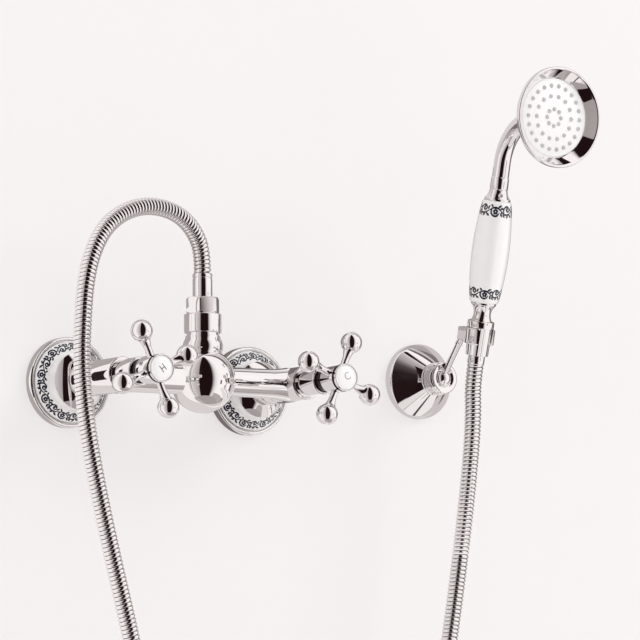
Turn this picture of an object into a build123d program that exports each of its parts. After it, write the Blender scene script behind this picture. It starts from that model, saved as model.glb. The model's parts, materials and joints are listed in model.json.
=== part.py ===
from build123d import *
import os
from math import cos, pi, radians, sin, sqrt, tan

os.makedirs("parts", exist_ok=True)

# Wall-mounted shower mixer with a handset on a hose. Millimetres, +Z up. The wall is the plane y = 0, and
# the object stands in front of it, at negative y. The origin is on the wall, midway between the inlets.

# Clearances
running = 0.1
seat_gap = 0.3
overrun = 1.0

# Where the middle of a quarter round lies, as a share of its radius
round_share = 1 - sqrt(1 / 2)

# Layout
inlet_pitch = 165.0
body_standoff = 68.0
bracket_x = 248.3
bracket_z = 14.6
handset_standoff = 88.5
handset_z = 44.6
handset_lean = 14.2

# Inlet thread and wall union
inlet_thread_r = 10.48
inlet_thread_length = 14.0
union_bore_r = 6.5
union_shank_r = 9.4
union_flange_r = 11.2
union_flange_length = 3.0

# Chrome flange against the wall
flange_r = 35.0
flange_side = 6.0
flange_depth = 8.0
flange_bead = 2.8
flange_wall = 2.0
flange_bore_r = 12.0

# Porcelain ring in the flange
ring_lip_r = 19.7
ring_lip_depth = 13.7
ring_rim_depth = 2.2
ring_waist_r = 22.2
ring_waist_depth = 5.8
ring_wall = 2.5
ring_bulge_share = 0.25
ring_hollow_share = 0.2

# Lock collar that presses the ring on the flange
collar_r = 20.0
collar_rim = 1.3
collar_depth = 6.0
collar_nose_r = 13.4
collar_wall = 1.7
collar_spigot = 2.2

# Union nut, washer and strainer
nut_r = 13.35
nut_length = 21.6
nut_lip = 2.4
nut_bore_r = 11.5
nut_gap = 0.7
nut_bevel = 0.6
washer_thickness = 2.0
strainer_thickness = 0.8
strainer_depth = 3.0
strainer_wall = 1.2
strainer_hole_r = 1.1
strainer_holes = 6

# Mixer body
tail_r = 11.4
tail_bore_r = 8.0
tee_r = 13.35
tee_reach = 20.0
tee_round = 1.2
cross_r = 11.4
cross_bore_r = 6.0
cross_flare_r = 13.1
cross_flare_length = 9.0
flare_rise_share = 0.25
flare_place_share = 0.75
sphere_r = 25.2
sphere_cavity_r = 20.0
vase_r = 15.35
vase_length = 14.3
vase_top_r = 13.35
vase_top = 34.3
vase_straight_share = 0.2
vase_bulge_share = 0.667
vase_place_share = 0.6
outlet_thread_r = 12.4
outlet_thread_length = 8.7
outlet_bore_r = 9.0
seat_wall = 4.0
pocket_r = 9.2
pocket_depth = 26.0
seat_port_r = 3.6

# Ceramic cartridge
seal_thickness = 2.0
disc_r = 7.6
disc_thickness = 2.5
disc_port_r = 1.9
disc_port_place = 4.3
disc_ports = 2
closed_turn = 90
cavity_clearance = 0.2
cavity_length = 16.0
shell_neck_r = 8.6
shell_past_stem = 2.6
window_width = 5.0
window_length = 7.0
window_start = 8.0
foot_r = 5.5
foot_length = 3.0
stem_r = 4.0
stem_length = 46.0
spline_r = 3.8
spline_length = 16.4
stem_seal_width = 2.0
stem_seal_wall = 1.9
stem_seal_from_seat = 33.0

# Bonnet over the cartridge
bonnet_r = 11.0
bonnet_shows_neck = 7.6
bonnet_bevel = 0.8
bonnet_clearance = 0.2

# Handle
hub_r = 10.7
hub_gap = 0.4
hub_round = 1.4
hub_groove_width = 1.6
hub_groove_depth = 0.7
hub_rim = 2.5
cap_r = 9.6
cap_seat = 1.9
cap_clearance = 2.0
cap_edge = 1.1
cap_crown = 2.2
arm_from_front = 10.5
arm_r = 2.8
arm_waist_r = 3.0
arm_flare_r = 4.4
arm_start = 8.4
arm_neck = 13.0
arm_waist = 18.5
ball_place = 30.3
ball_r = 8.3
arm_count = 4
hot_turn = -22.2
cold_turn = 22.4
screw_head_r = 3.6
screw_head_length = 2.6
screw_shank_r = 1.4
screw_length = 9.0
screw_slot = 0.9
screw_web = 2.6
set_screw_r = 1.9
set_screw_start = 4.4
set_screw_proud = 0.4
set_screw_from_front = 14.5
hex_sides = 6

# Outlet, up from the body
outlet_nut_r = 14.35
outlet_nut_gap = 2.2
outlet_nut_length = 14.8
outlet_nut_lip = 4.0
spigot_r = 10.48
spigot_flange_r = 12.2
spigot_flange_length = 2.3
spigot_bore_r = 8.0
hose_nut_flat_r = 11.7
hose_nut_turn = 18.0
hose_nut_length = 12.7
hose_nut_lip = 2.2
hose_washer_thickness = 1.0
ferrule_flange_r = 9.5
ferrule_flange_length = 0.8
ferrule_neck_r = 6.7
ferrule_r = 7.65
ferrule_length = 18.4
ferrule_bore_r = 4.6

# Hose
hose_r = 6.65
hose_groove_r = 5.9
hose_bore_r = 4.9
liner_r = 4.5
liner_bore_r = 3.2
hose_end_run = 18.3
hose_ribs = 200
rib_crest_share = 0.56
rib_ramp_share = 0.12
fillet_share = 0.45
hose_route = [
    (0, -68, 100), (-9, -71, 115), (-23, -75, 125), (-40, -78, 130), (-61, -82, 130), (-82, -86, 123),
    (-100, -90, 110), (-113, -94, 91), (-121, -97, 67), (-125, -100, 40), (-127, -101, 9), (-125, -101, -23),
    (-120, -101, -56), (-112, -101, -93), (-101, -100, -135), (-88, -99, -181), (-74, -97, -233),
    (-61, -94, -289), (-47, -91, -345), (-30, -88, -400), (-8, -85, -451), (21, -82, -489), (59, -79, -511),
    (100, -77, -511), (137, -75, -490), (164, -73, -453), (183, -72, -404), (197, -71, -350),
    (209, -71, -293), (220, -71, -237), (230, -72, -183), (238, -73, -132), (244, -75, -84),
    (248, -77, -41), (249, -78, -14),
]

# Upper hose ferrule and cone nut, stations along the handset's axis from the cradle's middle
cone_ferrule_r = 6.9
cone_ferrule_length = 7.0
cone_nut_low = 15.5
cone_nut_r = 9.1
cone_nut_top_r = 9.95
cone_ring_r = 10.8
cone_ring_length = 5.6
cone_nut_lip = 3.5
cone_neck_r = 6.0
cone_flange_r = 8.2
cone_flange_length = 1.2
cone_washer_thickness = 1.5
handset_thread_r = 8.33

# Cradle, rod and ball
cradle_r = 12.3
cradle_half = 6.5
cradle_clearance = 0.3
cradle_mouth = 14.0
cradle_round = 0.8
block_width = 9.0
block_low = 5.0
block_high = 4.6
block_reach = 26.0
block_round = 1.6
rod_r = 2.5
rod_seat_reach = 21.9
rod_seat_drop = 1.85
joint_ball_r = 7.0
ball_from_nose = 10.6

# Wall bracket
bracket_r = 30.5
bracket_side = 6.0
bracket_cone_r = 28.5
bracket_cone_start = 8.5
bracket_nose_h = 26.4
bracket_nose_r = 13.4
nose_thread_r = 9.5
nose_thread_length = 5.8
nose_bore_r = 5.5
nose_floor = 2.0
nose_hole_r = 1.5
bracket_wall = 2.6
plate_r = 27.0
plate_thickness = 4.0
plate_screw_pitch = 32.0
wall_screw_r = 2.0
wall_screw_neck_r = 1.8
wall_screw_head_r = 4.0
wall_screw_length = 30.0
grub_r = 1.5
grub_h = 2.0
grub_length = 4.0
collar_length = 14.1
collar_front_r = 12.4
collar_bead = 0.45
collar_groove_shares = [(0.12, 0.16, 0.22, 0.26), (0.7, 0.74, 0.79, 0.83)]
throat_share = 0.35
lip_arc_angle = 9
collar_bore_r = 9.7
collar_lip_r = 6.8
collar_mouth_r = 8.5
collar_slot = 6.0
collar_slot_back = 1.5
pad_r = 5.3

# Handset, upwards from the cone nut
lower_collar_foot_r = 8.6
lower_collar_waist_r = 6.9
lower_collar_waist_length = 5.0
lower_collar_length = 14.8
lower_collar_r = 10.2
lower_collar_bead = 1.6
grip_length = 82.3
grip_end_r = 11.6
grip_r = 15.0
grip_bore_r = 6.5
grip_round = 0.8
tube_r = 5.0
tube_bore_r = 4.0
tube_past_grip = 3.9
tube_spigot_length = 9.5
neck_r = 5.75
neck_bore_r = 4.75
upper_collar_bead = 1.7
upper_collar_r = 10.5
upper_collar_waist_r = 7.9
upper_collar_waist_length = 6.9
upper_collar_length = 19.2
upper_collar_end_r = 7.2
neck_straight = 11.2
bend_r = 39.4
bend_turn = 80.8
neck_tail = 4.0

# Head, stations from its front rim backwards
head_r = 39.6
head_rim = 3.5
head_rim_round = 0.9
head_step_r = 38.4
head_step = 4.6
head_shoulder_r = 33.2
head_shoulder = 10.5
head_waist_r = 23.5
head_waist = 18.5
head_boss_r = 8.5
head_boss_start = 27.0
head_boss_end = 36.0
head_boss_bore = 31.0
head_wall = 2.2
plate_recess = 6.5
spray_r = 30.8
spray_thickness = 2.5
spray_keys = 3
spray_key_turn = 30
spray_key_depth = 1.2
spray_key_width = 3.6
mat_r = 28.0
mat_thickness = 1.5
nub_r = 1.05
nub_hole_r = 1.25
nub_proud = 0.6
nozzle_counts = [8, 14, 22]
nozzle_ring_radii = [6.65, 16.9, 25.0]
head_ledge = 12.0

# Stations of the inlet stack, outwards from the wall
ring_seat = flange_side
ring_rim = ring_seat + ring_rim_depth
ring_waist_h = ring_rim + ring_waist_depth
ring_front = ring_seat + ring_rim_depth + ring_lip_depth
collar_front = ring_front + collar_depth
nut_start = collar_front + nut_gap
union_flange_start = nut_start + nut_lip
union_flange_end = union_flange_start + union_flange_length
tail_start = union_flange_end + washer_thickness
nut_end = nut_start + nut_length
tee_start = nut_end + seat_gap
tee_end = body_standoff + tee_reach
pocket_floor = tee_end - pocket_depth
seat_back = pocket_floor - seat_wall
fixed_disc_start = pocket_floor + seal_thickness
moving_disc_start = fixed_disc_start + disc_thickness
foot_start = moving_disc_start + disc_thickness
foot_end = foot_start + foot_length
cavity_end = pocket_floor + cavity_length
shell_r = pocket_r - running
stem_end = foot_end + stem_length
spline_end = stem_end + spline_length
shell_end = stem_end + shell_past_stem
bonnet_start = tee_end + seat_gap
bonnet_end = shell_end - bonnet_shows_neck
hub_start = shell_end + hub_gap
screw_seat = spline_end + screw_web
hub_end = screw_seat + screw_head_length + cap_clearance + cap_seat
arm_h = hub_end - arm_from_front
set_screw_h = hub_end - set_screw_from_front
joint_ball_h = bracket_nose_h + ball_from_nose
inlets = {"hot": -inlet_pitch / 2, "cold": inlet_pitch / 2}
turns = {"hot": hot_turn, "cold": cold_turn}

# Stations of the handset, along its axis from the cradle's middle
nut_shoulder = cradle_half + seat_gap
nut_top = nut_shoulder + cone_ring_length
lower_collar_start = nut_top + running
grip_start = lower_collar_start + lower_collar_length
grip_end = grip_start + grip_length
tube_shoulder = grip_end + tube_past_grip
tube_end = tube_shoulder + tube_spigot_length
upper_collar_end = grip_end + upper_collar_length
bend_start = upper_collar_end + neck_straight

outward = Vector(0, -1, 0)
up = Vector(0, 0, 1)
across = Vector(1, 0, 0)


def draw_outline(outline):
    """Lines from point to point; an entry of two points is an arc through the first to the second."""
    here = outline[0]
    for step in outline[1:]:
        if isinstance(step[0], tuple):
            ThreePointArc(here, step[0], step[1])
            here = step[1]
        else:
            Line(here, step)
            here = step
    Line(here, outline[0])


def turn_solid(origin, axis, outline, mode=Mode.ADD):
    """Adds a turned solid to the part in work; the outline holds (radius, station) along the axis."""
    with BuildSketch(Plane(origin=origin, x_dir=across, z_dir=across.cross(axis))) as profile:
        with BuildLine():
            draw_outline(outline)
        make_face()
    revolve(profile.sketch, axis=Axis(origin, axis), mode=mode)


def save(piece, label):
    """Labels a finished piece and writes it."""
    piece.part.label = label
    export_step(piece.part, f"parts/{label}.step")


def turned(label, origins, axis, outline):
    """A turned piece at each origin, as one node."""
    with BuildPart() as piece:
        for origin in origins:
            turn_solid(origin, axis, outline)
    save(piece, label)


def on_wall(side):
    """Where an inlet's axis meets the wall."""
    return Vector(inlets[side], 0, 0)


both_inlets = [on_wall("hot"), on_wall("cold")]


def face_plane(origin, h):
    """Plane parallel to the wall, h in front of it, looked at from the front."""
    return Plane(origin=origin + outward * h, x_dir=across, z_dir=outward)


# Inlet side: flange, porcelain ring, lock collar and wall union
for side in inlets:
    turned(f"flange_{side}", [on_wall(side)], outward, [
        (flange_r, 0),
        (flange_r, flange_depth - flange_bead / 2),
        ((flange_r - flange_bead / 2, flange_depth), (flange_r - flange_bead, flange_depth - flange_bead / 2)),
        (flange_r - flange_bead, flange_side),
        (flange_bore_r, flange_side),
        (flange_bore_r, flange_side - flange_wall),
        (flange_r - flange_wall, flange_side - flange_wall),
        (flange_r - flange_wall, 0),
    ])
    ring_r = flange_r - flange_bead - running
    ring_spigot_r = ring_lip_r - ring_wall
    ring_mid = (ring_rim + ring_waist_h) / 2
    ring_bulge = ring_wall * ring_bulge_share
    ring_hollow = ring_wall * ring_hollow_share
    turned(f"flange_ring_{side}", [on_wall(side)], outward, [
        (ring_r, ring_seat),
        (ring_r, ring_rim),
        (((ring_r + ring_waist_r) / 2 - ring_bulge, ring_mid + ring_bulge), (ring_waist_r, ring_waist_h)),
        (((ring_waist_r + ring_lip_r) / 2 - ring_hollow, (ring_waist_h + ring_front) / 2),
         (ring_lip_r, ring_front)),
        (ring_spigot_r, ring_front),
        (ring_spigot_r, ring_waist_h),
        (ring_r - ring_wall, ring_seat),
    ])
    collar_rear = ring_front + collar_rim
    collar_bore = union_shank_r + seat_gap
    turned(f"flange_collar_{side}", [on_wall(side)], outward, [
        (collar_r, ring_front),
        (collar_r, collar_rear),
        (collar_nose_r, collar_front),
        (collar_bore, collar_front),
        (collar_bore, collar_front - collar_wall),
        (collar_nose_r - collar_wall, collar_front - collar_wall),
        (ring_spigot_r - running - collar_wall, collar_rear),
        (ring_spigot_r - running - collar_wall, ring_front - collar_spigot),
        (ring_spigot_r - running, ring_front - collar_spigot),
        (ring_spigot_r - running, ring_front),
    ])
    turned(f"wall_union_{side}", [on_wall(side)], outward, [
        (union_bore_r, -inlet_thread_length),
        (inlet_thread_r, -inlet_thread_length),
        (inlet_thread_r, 0),
        (union_shank_r, 0),
        (union_shank_r, union_flange_start),
        (union_flange_r, union_flange_start),
        (union_flange_r, union_flange_end),
        (union_bore_r, union_flange_end),
    ])

turned("union_nuts", both_inlets, outward, [
    (union_shank_r + running, nut_start),
    (nut_r - nut_bevel, nut_start),
    (nut_r, nut_start + nut_bevel),
    (nut_r, nut_end - nut_bevel / 2),
    (nut_r - nut_bevel / 2, nut_end),
    (nut_bore_r, nut_end),
    (nut_bore_r, union_flange_start),
    (union_shank_r + running, union_flange_start),
])
turned("union_washers", both_inlets, outward, [
    (union_bore_r, union_flange_end),
    (union_flange_r, union_flange_end),
    (union_flange_r, tail_start),
    (union_bore_r, tail_start),
])

# Strainer cups in the body's two tails
strainer_r = tail_bore_r - running
with BuildPart() as inlet_strainers:
    for origin in both_inlets:
        turn_solid(origin, outward, [
            (0, tail_start + strainer_depth),
            (strainer_r, tail_start + strainer_depth),
            (strainer_r, tail_start),
            (strainer_r - strainer_wall, tail_start),
            (strainer_r - strainer_wall, tail_start + strainer_depth - strainer_thickness),
            (0, tail_start + strainer_depth - strainer_thickness),
        ])
        with BuildSketch(face_plane(origin, tail_start + strainer_depth + overrun)):
            with PolarLocations(strainer_r / 2, strainer_holes):
                Circle(strainer_hole_r)
            Circle(strainer_hole_r)
        extrude(amount=-strainer_thickness - 2 * overrun, mode=Mode.SUBTRACT)
save(inlet_strainers, "inlet_strainers")

# Mixer body: two tees, the cross tube with its sphere, and the neck of the outlet
body_centre = outward * body_standoff
outlet_thread_end = vase_top + outlet_thread_length
vase_start = vase_top - vase_length
vase_mid_r = vase_r - (vase_r - vase_top_r) * vase_bulge_share
with BuildPart() as mixer_body:
    for origin in both_inlets:
        turn_solid(origin, outward, [
            (0, tail_start),
            (tail_r, tail_start),
            (tail_r, tee_start),
            (tee_r - tee_round / 2, tee_start),
            (tee_r, tee_start + tee_round / 2),
            (tee_r, tee_end - tee_round),
            ((tee_r - tee_round * round_share, tee_end - tee_round * round_share), (tee_r - tee_round, tee_end)),
            (0, tee_end),
        ])
    with BuildSketch(Plane(origin=body_centre, x_dir=up, z_dir=across).offset(-inlet_pitch / 2)):
        Circle(cross_r)
    extrude(amount=inlet_pitch)
    # Each end of the cross tube flares into its tee
    flare_end = inlet_pitch / 2 - tee_r - cross_flare_length
    flare_mid_r = cross_r + (cross_flare_r - cross_r) * flare_rise_share
    for way in (-1, 1):
        with BuildSketch(Plane(origin=body_centre, x_dir=up, z_dir=outward)):
            with BuildLine():
                draw_outline([
                    (0, way * inlet_pitch / 2),
                    (cross_flare_r, way * inlet_pitch / 2),
                    (cross_flare_r, way * (inlet_pitch / 2 - tee_r / 2)),
                    ((flare_mid_r, way * (flare_end + cross_flare_length * flare_place_share)),
                     (cross_r, way * flare_end)),
                    (0, way * flare_end),
                ])
            make_face()
        revolve(axis=Axis(body_centre, across))
    with Locations(body_centre):
        Sphere(sphere_r)
    turn_solid(body_centre, up, [
        (0, 0),
        (vase_r, 0),
        (vase_r, vase_start + vase_length * vase_straight_share),
        ((vase_mid_r, vase_start + vase_length * vase_place_share), (vase_top_r, vase_top)),
        (outlet_thread_r, vase_top),
        (outlet_thread_r, outlet_thread_end),
        (0, outlet_thread_end),
    ])
    with Locations(body_centre):
        Sphere(sphere_cavity_r, mode=Mode.SUBTRACT)
    with BuildSketch(Plane(origin=body_centre, x_dir=across, z_dir=up)):
        Circle(outlet_bore_r)
    extrude(amount=outlet_thread_end + overrun, mode=Mode.SUBTRACT)
    with BuildSketch(Plane(origin=body_centre, x_dir=up, z_dir=across).offset(-inlet_pitch / 2)):
        Circle(cross_bore_r)
    extrude(amount=inlet_pitch, mode=Mode.SUBTRACT)
    for origin in both_inlets:
        with BuildSketch(face_plane(origin, tail_start)):
            Circle(tail_bore_r)
        extrude(amount=seat_back - tail_start, mode=Mode.SUBTRACT)
        with BuildSketch(face_plane(origin, seat_back)):
            Circle(seat_port_r)
        extrude(amount=seat_wall, mode=Mode.SUBTRACT)
        with BuildSketch(face_plane(origin, pocket_floor)):
            Circle(pocket_r)
        extrude(amount=pocket_depth, mode=Mode.SUBTRACT)
save(mixer_body, "mixer_body")

# Cartridges: shell, rear seal, fixed disc and stem seal stay put; spindle and moving disc turn
seal_start = pocket_floor + stem_seal_from_seat
cavity_r = disc_r + cavity_clearance
with BuildPart() as cartridge_shells:
    for origin in both_inlets:
        turn_solid(origin, outward, [
            (cavity_r, pocket_floor),
            (shell_r, pocket_floor),
            (shell_r, tee_end),
            (shell_neck_r, tee_end),
            (shell_neck_r, shell_end),
            (stem_r + running, shell_end),
            (stem_r + running, seal_start + stem_seal_width),
            (stem_r + stem_seal_wall, seal_start + stem_seal_width),
            (stem_r + stem_seal_wall, seal_start),
            (stem_r + running, seal_start),
            (stem_r + running, cavity_end),
            (cavity_r, cavity_end),
        ])
        with BuildSketch(face_plane(origin, pocket_floor + window_start)):
            Rectangle(window_width, 2 * pocket_r + overrun)
            Rectangle(2 * pocket_r + overrun, window_width)
            Circle(cavity_r, mode=Mode.SUBTRACT)
        extrude(amount=window_length, mode=Mode.SUBTRACT)
save(cartridge_shells, "cartridge_shells")

turned("seat_seals", both_inlets, outward, [
    (disc_port_place + disc_port_r, pocket_floor),
    (disc_r, pocket_floor),
    (disc_r, fixed_disc_start),
    (disc_port_place + disc_port_r, fixed_disc_start),
])
turned("stem_seals", both_inlets, outward, [
    (stem_r + running / 2, seal_start),
    (stem_r + stem_seal_wall - running / 2, seal_start),
    (stem_r + stem_seal_wall - running / 2, seal_start + stem_seal_width),
    (stem_r + running / 2, seal_start + stem_seal_width),
])


def cut_ports(origin, h, turn):
    """Two ports through a disc."""
    with BuildSketch(face_plane(origin, h)) as ports:
        with PolarLocations(disc_port_place, disc_ports, start_angle=-turn):
            Circle(disc_port_r)
    extrude(ports.sketch, amount=disc_thickness, mode=Mode.SUBTRACT)


with BuildPart() as fixed_discs:
    for side in inlets:
        with BuildSketch(face_plane(on_wall(side), fixed_disc_start)):
            Circle(disc_r)
        extrude(amount=disc_thickness)
        cut_ports(on_wall(side), fixed_disc_start, 0)
save(fixed_discs, "fixed_discs")

for side in inlets:
    turned(f"bonnet_{side}", [on_wall(side)], outward, [
        (shell_neck_r + bonnet_clearance, bonnet_start),
        (bonnet_r, bonnet_start),
        (bonnet_r, bonnet_end - bonnet_bevel),
        (bonnet_r - bonnet_bevel, bonnet_end),
        (shell_neck_r + bonnet_clearance, bonnet_end),
    ])

# Handles: spindle and disc inside, hub, four arms, index cap and screws outside
hub_bore_r = spline_r + running
for side in inlets:
    foot = on_wall(side)
    turn = turns[side]
    with BuildPart() as moving_disc:
        with BuildSketch(face_plane(foot, moving_disc_start)):
            Circle(disc_r)
        extrude(amount=disc_thickness)
        cut_ports(foot, moving_disc_start, closed_turn)
    save(moving_disc, f"{side}_moving_disc")

    turned(f"{side}_spindle", [foot], outward, [
        (0, foot_start),
        (foot_r, foot_start),
        (foot_r, foot_end),
        (stem_r, foot_end),
        (stem_r, stem_end),
        (spline_r, stem_end),
        (spline_r, spline_end),
        (screw_shank_r + running, spline_end),
        (screw_shank_r + running, screw_seat - screw_length - seat_gap),
        (0, screw_seat - screw_length - seat_gap),
    ])

    with BuildPart() as hub:
        turn_solid(foot, outward, [
            (hub_bore_r, hub_start),
            (hub_r - hub_round, hub_start),
            (hub_r, hub_start + hub_round),
            (hub_r, hub_end - hub_rim - hub_groove_width),
            (hub_r - hub_groove_depth, hub_end - hub_rim - hub_groove_width),
            (hub_r - hub_groove_depth, hub_end - hub_rim),
            (hub_r, hub_end - hub_rim),
            (hub_r, hub_end - hub_round / 2),
            (hub_r - hub_round / 2, hub_end),
            (cap_r + running, hub_end),
            (cap_r + running, hub_end - cap_seat),
            (screw_head_r + seat_gap, hub_end - cap_seat),
            (screw_head_r + seat_gap, screw_seat),
            (screw_shank_r + seat_gap, screw_seat),
            (screw_shank_r + seat_gap, spline_end),
            (hub_bore_r, spline_end),
        ])
        for number in range(arm_count):
            angle = radians(turn + 360 / arm_count * number)
            along = Vector(sin(angle), 0, cos(angle))
            with BuildSketch(Plane(origin=foot + outward * arm_h + along * arm_start, z_dir=along)):
                Circle(arm_r + running)
            extrude(amount=hub_r, mode=Mode.SUBTRACT)
        between = 180 / arm_count if side == "cold" else -180 / arm_count
        screw_angle = radians(turn + between)
        screw_along = Vector(sin(screw_angle), 0, cos(screw_angle))
        screw_foot = foot + outward * set_screw_h
        with BuildSketch(Plane(origin=screw_foot, z_dir=screw_along)):
            Circle(set_screw_r + running)
        extrude(amount=hub_r + overrun, mode=Mode.SUBTRACT)
    save(hub, f"{side}_hub")

    with BuildPart() as arms:
        flare_end_place = ball_place - sqrt(ball_r ** 2 - arm_flare_r ** 2)
        for number in range(arm_count):
            angle = radians(turn + 360 / arm_count * number)
            along = Vector(sin(angle), 0, cos(angle))
            with BuildSketch(Plane(origin=foot + outward * arm_h, x_dir=outward, z_dir=outward.cross(along))):
                with BuildLine():
                    draw_outline([
                        (0, arm_start),
                        (arm_r, arm_start),
                        (arm_r, arm_neck),
                        ((arm_waist_r, arm_waist), (arm_flare_r, flare_end_place)),
                        ((ball_r, ball_place), (0, ball_place + ball_r)),
                    ])
                make_face()
            revolve(axis=Axis(foot + outward * arm_h, along))
    save(arms, f"{side}_arms")

    cap_rim = hub_end - cap_seat + cap_edge
    crown_r = (cap_r ** 2 + cap_crown ** 2) / (2 * cap_crown)
    crown_mid = cap_rim + cap_crown - crown_r + sqrt(crown_r ** 2 - (cap_r / 2) ** 2)
    turned(f"{side}_index_cap", [foot], outward, [
        (0, hub_end - cap_seat),
        (cap_r, hub_end - cap_seat),
        (cap_r, cap_rim),
        ((cap_r / 2, crown_mid), (0, cap_rim + cap_crown)),
    ])

    with BuildPart() as handle_screw:
        turn_solid(foot, outward, [
            (0, screw_seat - screw_length),
            (screw_shank_r, screw_seat - screw_length),
            (screw_shank_r, screw_seat),
            (screw_head_r, screw_seat),
            (screw_head_r, screw_seat + screw_head_length),
            (0, screw_seat + screw_head_length),
        ])
        with BuildSketch(face_plane(foot, screw_seat + screw_head_length)):
            Rectangle(2 * screw_head_r + overrun, screw_slot)
        extrude(amount=-screw_head_length / 2, mode=Mode.SUBTRACT)
    save(handle_screw, f"{side}_handle_screw")

    with BuildPart() as set_screw:
        with BuildSketch(Plane(origin=screw_foot, z_dir=screw_along).offset(set_screw_start)):
            Circle(set_screw_r)
        extrude(amount=hub_r + set_screw_proud - set_screw_start)
        with BuildSketch(Plane(origin=screw_foot, z_dir=screw_along).offset(hub_r + set_screw_proud)):
            RegularPolygon(set_screw_r / 2, hex_sides)
        extrude(amount=-set_screw_r, mode=Mode.SUBTRACT)
    save(set_screw, f"{side}_set_screw")

# Outlet: washers, spigot held by its nut, hose nut and ferrule
outlet_nut_start = vase_top + outlet_nut_gap
outlet_nut_end = outlet_nut_start + outlet_nut_length
spigot_start = outlet_nut_end - outlet_nut_lip - spigot_flange_length
hose_nut_end = outlet_nut_end + hose_nut_length
ferrule_start = hose_nut_end - hose_nut_lip - ferrule_flange_length
spigot_end = ferrule_start - hose_washer_thickness
ferrule_end = hose_nut_end + seat_gap + ferrule_length
hose_bore_in_nut = spigot_r + running
with BuildPart() as outlet_washers:
    turn_solid(body_centre, up, [
        (spigot_bore_r, outlet_thread_end),
        (spigot_flange_r, outlet_thread_end),
        (spigot_flange_r, spigot_start),
        (spigot_bore_r, spigot_start),
    ])
    turn_solid(body_centre, up, [
        (spigot_bore_r, spigot_end),
        (ferrule_flange_r, spigot_end),
        (ferrule_flange_r, ferrule_start),
        (spigot_bore_r, ferrule_start),
    ])
save(outlet_washers, "outlet_washers")
turned("outlet_spigot", [body_centre], up, [
    (spigot_bore_r, spigot_start),
    (spigot_flange_r, spigot_start),
    (spigot_flange_r, spigot_start + spigot_flange_length),
    (spigot_r, spigot_start + spigot_flange_length),
    (spigot_r, spigot_end),
    (spigot_bore_r, spigot_end),
])
turned("outlet_nut", [body_centre], up, [
    (outlet_thread_r + running, outlet_nut_start),
    (outlet_nut_r - nut_bevel, outlet_nut_start),
    (outlet_nut_r, outlet_nut_start + nut_bevel),
    (outlet_nut_r, outlet_nut_end - nut_bevel),
    (outlet_nut_r - nut_bevel, outlet_nut_end),
    (spigot_r + running, outlet_nut_end),
    (spigot_r + running, outlet_nut_end - outlet_nut_lip),
    (outlet_thread_r + running, outlet_nut_end - outlet_nut_lip),
])
hose_nut_corner_r = hose_nut_flat_r / cos(pi / hex_sides)
corner_fall = hose_nut_corner_r - hose_nut_flat_r
with BuildPart() as hose_nut:
    with BuildSketch(Plane(origin=body_centre, x_dir=across, z_dir=up).offset(outlet_nut_end)):
        RegularPolygon(hose_nut_corner_r, hex_sides, rotation=hose_nut_turn)
    extrude(amount=hose_nut_length)
    turn_solid(body_centre, up, [
        (0, outlet_nut_end),
        (hose_nut_flat_r, outlet_nut_end),
        (hose_nut_corner_r, outlet_nut_end + corner_fall),
        (hose_nut_corner_r, hose_nut_end - corner_fall),
        (hose_nut_flat_r, hose_nut_end),
        (0, hose_nut_end),
    ], mode=Mode.INTERSECT)
    turn_solid(body_centre, up, [
        (0, outlet_nut_end),
        (hose_bore_in_nut, outlet_nut_end),
        (hose_bore_in_nut, hose_nut_end - hose_nut_lip),
        (ferrule_neck_r + running, hose_nut_end - hose_nut_lip),
        (ferrule_neck_r + running, hose_nut_end),
        (0, hose_nut_end),
    ], mode=Mode.SUBTRACT)
save(hose_nut, "hose_nut")
turned("hose_ferrule", [body_centre], up, [
    (ferrule_bore_r, ferrule_start),
    (ferrule_flange_r, ferrule_start),
    (ferrule_flange_r, ferrule_start + ferrule_flange_length),
    (ferrule_neck_r, ferrule_start + ferrule_flange_length),
    (ferrule_neck_r, hose_nut_end + seat_gap),
    (ferrule_r, hose_nut_end + seat_gap),
    (ferrule_r, ferrule_end),
    (ferrule_bore_r, ferrule_end),
])

# Handset frame
lean = radians(handset_lean)
handset_foot = Vector(bracket_x, -handset_standoff, handset_z)
handset_axis = Vector(0, -sin(lean), cos(lean))
to_wall = Vector(0, cos(lean), sin(lean))
cradle_plane = Plane(origin=handset_foot, x_dir=across, z_dir=handset_axis)

# Hose: straight runs joined by arcs, from the ferrule to the cone ferrule
cone_ferrule_end = -cone_nut_low - cone_ferrule_length
hose_end = handset_foot + handset_axis * cone_ferrule_end
route = [body_centre + up * ferrule_end]
route += [Vector(*point) for point in hose_route]
route += [hose_end - handset_axis * hose_end_run, hose_end]


def arc_radii(points):
    """The largest radius that each corner's two runs allow, less a straight share."""
    radii = []
    for before, corner, after in zip(points, points[1:], points[2:]):
        turn = radians((corner - before).get_angle(after - corner))
        run = min((corner - before).length, (after - corner).length)
        radii.append(fillet_share * run / tan(turn / 2))
    return radii


radii = arc_radii(route)
with BuildLine() as hose_line:
    FilletPolyline(*route, radius=radii)
hose_wire = hose_line.wires()[0]
hose_length = hose_wire.length
print("hose radii", [round(radius) for radius in radii])
print("hose length", round(hose_length, 1))


def section_plane(distance):
    """Plane square to the hose at a distance along it, with a steady X axis."""
    return Plane(
        origin=hose_wire.position_at(distance, position_mode=PositionMode.LENGTH),
        x_dir=Vector(0, 1, 0),
        z_dir=hose_wire.tangent_at(distance, position_mode=PositionMode.LENGTH),
    )


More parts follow.
